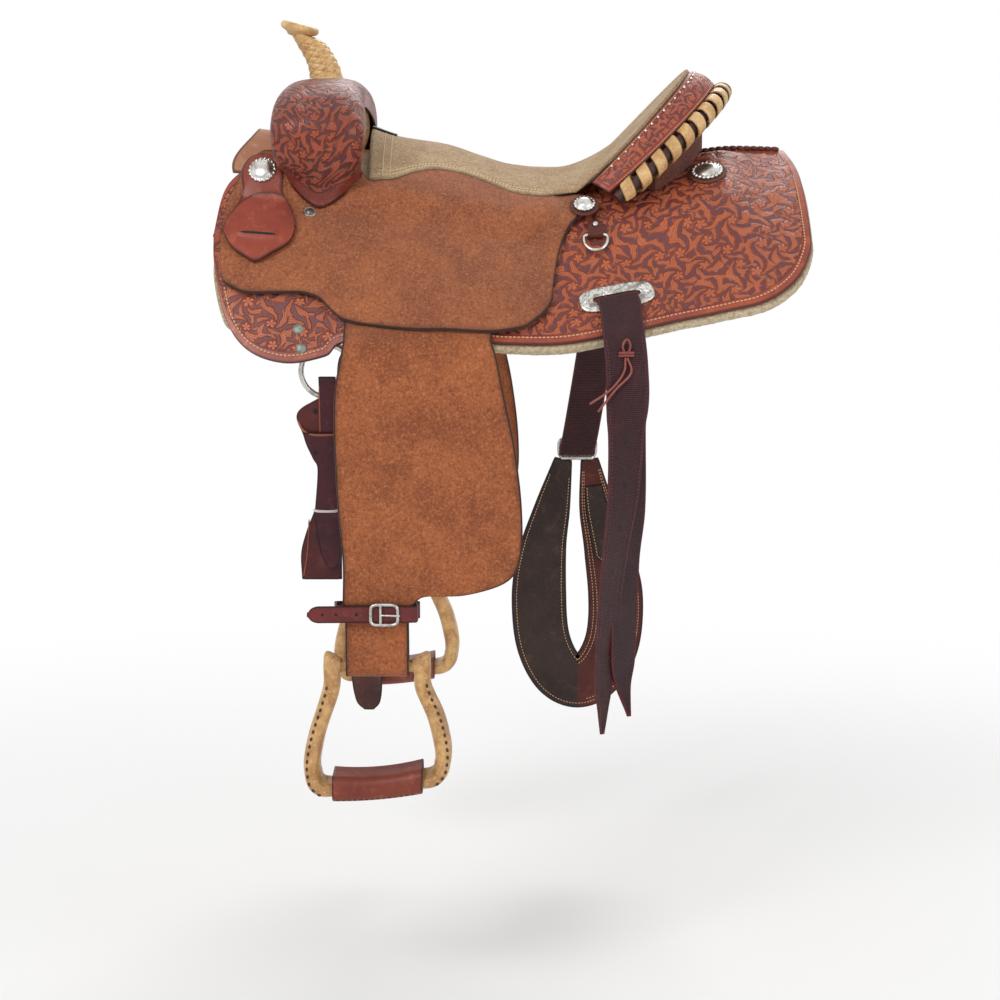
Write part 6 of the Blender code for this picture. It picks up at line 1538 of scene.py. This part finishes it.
for word, side, line in (("near", -1.0, BILLET_NEAR), ("off", 1.0, BILLET_OFF)):
    body = f"rear_billet_{word}"
    foot, (level, drop, out) = plate_axes(word, side)
    top = [foot + drop * d + out * (0.0020 + h) for d, h in BILLET_MOUTH]
    rest = spline([(x, side * (y + 0.0018), z) for x, y, z in line], 150)
    path = np.vstack([spline(np.vstack([top, rest[:1]]), 14)[:-1], rest])
    share = ease(np.linspace(0, 1, len(path)) / 0.25)[:, None]
    across = level * (1 - share) + ALONG_X * share
    half = np.full(len(path), BILLET_HALF)
    if side < 0:
        depth = -path[:, 2]
        loose = ease((depth - 0.150) / 0.060)
        path[:, 0] = path[:, 0] * (1 - loose) + smooth_value(depth, FRONT_MIDDLE) * loose
        half = smooth_value(depth, BILLET_TAPER)
        twist = np.arccos(np.clip(smooth_value(depth, FRONT_SEEN) / half, 0.35, 1.0)) * loose
        across = across * (1 - loose[:, None]) + twisted(twist) * loose[:, None]
        second = path[20:].copy()
        depth = depth[20:]
        loose = ease((depth - 0.130) / 0.090)
        second[:, 0] = second[:, 0] * (1 - loose) + smooth_value(depth, BACK_MIDDLE) * loose
        second[:, 1] += 0.0040 + 0.0190 * loose
        second[:, 2] += 0.014 * ease((depth - 0.40) / 0.14)
        depth = -second[:, 2]
        second_half = smooth_value(depth + 0.014 * ease((depth - 0.40) / 0.14), BILLET_TAPER)
        under = strap("rear_billet_under", second, twisted(0.85 * twist[20:]), second_half, 0.0026, nylon_back, 11)
        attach(under, body)
    billet = strap(f"rear_billet_woven_{word}", path, across, half, NYLON, nylon, 15)
    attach(billet, body)
    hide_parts(f"rear_billet_{word}")
    face = unit(np.cross(across, np.gradient(path, axis=0)))
    face *= np.sign(face[:, 1:2]) * side
    for k, w in enumerate((-0.86, 0.86)):
        edge_line = path + across * half[:, None] * w + face * (NYLON / 2)
        row = thread(f"rear_billet_stitches_{word}_{k}", edge_line[16:-8], face[16:-8], maroon_thread, pitch=0.0042,
                     length=0.0030, width=0.0009)
        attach(row, body)
    if side < 0:
        near_path, near_face = path, face


def near_place(height):
    """The point on the near billet's face at a height, and the way out of it there."""
    n = int(np.argmin(np.abs(near_path[:, 2] - height)))
    return near_path[n] + near_face[n] * (NYLON / 2), near_face[n]


for k, height in enumerate((-0.2171, -0.2640, -0.3120, -0.3600, -0.4108)):
    spot, out = near_place(height)
    punched(f"rear_billet_hole_{k}", [spot], out, 0.0031, "rear_billet_near")

CINCH_WIRE = 0.0024
low, (x, y, z), high = buckle("cinch_frame", "cinch_buckle", CINCH_WIRE, nickel, "rear_billet_off")
foot = low[2] + CINCH_WIRE
rod("cinch_roller", [(low[0] + 0.004, y, foot), (x, y, foot), (high[0] - 0.004, y, foot)], 0.0033, nickel,
    "rear_billet_off")
rod("cinch_tongue", [(x, y + 0.003, foot), (x, y + 0.004, z), (x, y + 0.002, high[2] + 0.001)], 0.0015, nickel,
    "rear_billet_off")

CINCH_Y, CINCH_THICKNESS, CINCH_MIDDLE = 0.2511, 0.0050, 0.0905
CINCH_LINE = [(0.0700, -0.3210), (0.0560, -0.3850), (0.0440, -0.4400), (0.0390, -0.5000), (0.0440, -0.5600),
              (0.0630, -0.6020), (0.0900, -0.6170), (0.1170, -0.6020), (0.1360, -0.5600), (0.1390, -0.5000),
              (0.1280, -0.4400), (0.1140, -0.3850), (0.1040, -0.3210)]
CINCH_HALF = [(0.0, 0.0110), (0.12, 0.0240), (0.30, 0.0350), (0.70, 0.0350), (0.88, 0.0240), (1.0, 0.0110)]
cinch_dark = leather("cinch_brown", (0.034, 0.018, 0.013), (0.020, 0.010, 0.008), (0.10, 0.05, 0.036), relief=0.2,
                     rough=(0.36, 0.52))
cinch_red = leather("cinch_red", (0.090, 0.014, 0.009), (0.050, 0.009, 0.006), (0.21, 0.06, 0.03), relief=0.2,
                    rough=(0.34, 0.50))
path = spline([(x, CINCH_Y, z) for x, z in CINCH_LINE], 241)
across = np.cross(unit(np.gradient(path, axis=0)), ALONG_Y)
half = smooth_value(np.linspace(0, 1, 241), CINCH_HALF)
cinch = strap("flank_cinch_sewn", path, across, half, CINCH_THICKNESS, cinch_dark, 21)
cinch.data.materials.append(cinch_red)
centres = np.zeros(3 * len(cinch.data.polygons))
cinch.data.polygons.foreach_get("center", centres)
cinch.data.polygons.foreach_set("material_index", (centres[::3] > CINCH_MIDDLE).astype(int))
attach(cinch, "flank_cinch")
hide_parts("flank_cinch")
for k, (w, first) in enumerate(((-0.84, 8), (0.84, 8), (0.70, 122), (-0.70, 122))):
    for m, out in enumerate((-ALONG_Y, ALONG_Y)):
        line = (path + across * half[:, None] * w + out * CINCH_THICKNESS / 2)[first:236]
        row = thread(f"cinch_stitches_{k}_{m}", line, out, cream_thread, pitch=0.0040, length=0.0028, width=0.0010)
        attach(row, "flank_cinch")
sewn = slice(186, 228)
patch_half = half[sewn] * 0.62 * np.clip(np.linspace(0.0, 6.0, 42), 0.08, 1.0)
for m, out in enumerate((-ALONG_Y, ALONG_Y)):
    patch = strap(f"cinch_overlay_{m}", path[sewn] + out * (CINCH_THICKNESS / 2 + 0.0012), across[sewn], patch_half,
                  0.0022, cinch_dark)
    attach(patch, "flank_cinch")
    line = path[sewn] + across[sewn] * patch_half[:, None] * 0.78 + out * (CINCH_THICKNESS / 2 + 0.0023)
    row = thread(f"cinch_overlay_stitches_{m}", line[3:], out, cream_thread, pitch=0.0040, length=0.0028,
                 width=0.0010)
    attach(row, "flank_cinch")


# Tie string
# A thong of pink-brown leather looped and wrapped round the near billet's fold, its two tails
# hanging free.
thong = leather("tie_thong", (0.30, 0.085, 0.070), (0.20, 0.052, 0.045), (0.46, 0.18, 0.14), rough=(0.5, 0.65))
KNOT_HEIGHT, THONG_RADIUS = -0.1227, 0.0013
spot, out = near_place(KNOT_HEIGHT)
knot = spot + out * 0.0022
loop = [knot + (x, 0.004 * z / 0.015 - 0.0004 * k * (5 - k), z)
        for k, (x, z) in enumerate(((-0.0015, 0.0), (-0.0040, 0.0085), (-0.0012, 0.0150), (0.0022, 0.0150),
                                    (0.0042, 0.0085), (0.0015, 0.0)))]
rod("tie_loop", loop, THONG_RADIUS, thong, "rear_billet_near", 10)
for k, lift in enumerate((-0.0018, 0.0012)):
    wrap = [knot + (x, y, lift + z) for x, y, z in ((-0.0085, 0.0010, 0.0), (0.0, -0.0012, 0.0006),
                                                    (0.0085, 0.0010, 0.0002))]
    rod(f"tie_wrap_{k}", wrap, 0.0015, thong, "rear_billet_near", 10)
for k, (tip_x, tip_z) in enumerate(((0.0851, -0.1752), (0.0938, -0.1839))):
    start = knot + (-0.0010 + 0.002 * k, -0.0012, -0.0036)
    middle = start + (-0.002 + 0.006 * k, -0.0030, -0.016)
    later = ((start[0] + tip_x) / 2 + 0.003, start[1] - 0.0060, start[2] - 0.034)
    tail = spline([start, middle, later, (tip_x, start[1] - 0.0085, tip_z)], 24)
    ahead = unit(np.gradient(tail, axis=0))
    first = unit(np.cross(ahead, ALONG_Y))
    rings = rings_round(tail, THONG_RADIUS, first, np.cross(ahead, first), circle(10))
    hanging = tube(f"tie_tail_{k}", rings, thong)
    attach(hanging, "rear_billet_near")


# Small fasteners, the bindings and the bare tree
# Two grey-green rivets hold the front skirt, a dark binding covers the seat's front edge, a thong
# joins the skirts along the ridge behind the cantle, and the tree is pale wood under its coverings.
verdigris = metal("rivet_brass", (0.26, 0.28, 0.24), 0.5, (0.12, 0.16, 0.14), scale=300.0)
binding = leather("seat_binding", (0.020, 0.012, 0.010), (0.012, 0.008, 0.007), (0.06, 0.035, 0.028))
x = np.linspace(-0.1595, -0.1320, 24)
line = np.stack([x, 0 * x, smooth_value(x, SEAT_CROWN) + 0.0005], axis=1)
front_strip = strap("seat_front_binding", line, ALONG_Y, 0.0110, 0.0024, binding)
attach(front_strip, "saddle")
for word, side in SIDES:
    for k, (x, s) in enumerate(((-0.2322, 0.313), (-0.2285, 0.335))):
        spot = on_side(x, s, skirt_rise(x, s), side)
        head = turned(f"skirt_rivet_{word}_{k}", spot, side_axes(x, s, side),
                      [(0.0056, -0.0004), (0.0058, 0.0004), (0.0048, 0.0013), (0.0022, 0.0018), (0.0006, 0.0018)],
                      verdigris, 32)
        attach(head, "saddle")
ridge_thong = leather("ridge_thong", (0.130, 0.030, 0.020), (0.075, 0.018, 0.013), (0.30, 0.09, 0.06),
                      rough=(0.4, 0.55))
x = np.linspace(0.215, 0.312, 80)
ridge = np.stack([x, 0 * x, smooth_value(x, RIDGE_HEIGHT) + skirt_rise(x, 0.0035 + 0 * x) - 0.0004], axis=1)
for k, y in enumerate((-0.0045, 0.0045)):
    row = thread(f"ridge_lacing_{k}", ridge + y * ALONG_Y, ALONG_Z, ridge_thong, pitch=0.0078, length=0.0092,
                 width=0.0060, sunk=0.1)
    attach(row, "saddle")


def timber(name, colour, shade):
    """Pale wood: stretched noise for the grain and fine pores."""
    made, tree, where = new_finish(name)
    along = add(tree, "ShaderNodeMapping", {0: where, "Scale": (12.0, 110.0, 110.0)}).outputs[0]
    grain = noise(tree, along, 1.0, 7.0, 0.6, 0.4)
    return surfaced(made, blend(tree, ramp(tree, grain, 0.35, 0.65), shade, colour), 0.62, grain, 0.0006, 0.4)


pine = timber("tree_wood", (0.52, 0.34, 0.17), (0.34, 0.20, 0.09))
board_cover = rough_hide("board_cover", (0.16, 0.040, 0.022), (0.10, 0.025, 0.015), (0.26, 0.09, 0.05), rim=0.0)
steel = metal("tree_steel", (0.30, 0.30, 0.31), 0.42, (0.12, 0.11, 0.10))
for finish, names in ((pine, ("tree_bar_near", "tree_bar_off", "fork")), (board_cover, ("cantle_board",)),
                      (steel, ("horn_core", "ground_seat"))):
    for name in names:
        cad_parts[name].material_slots[0].material = finish
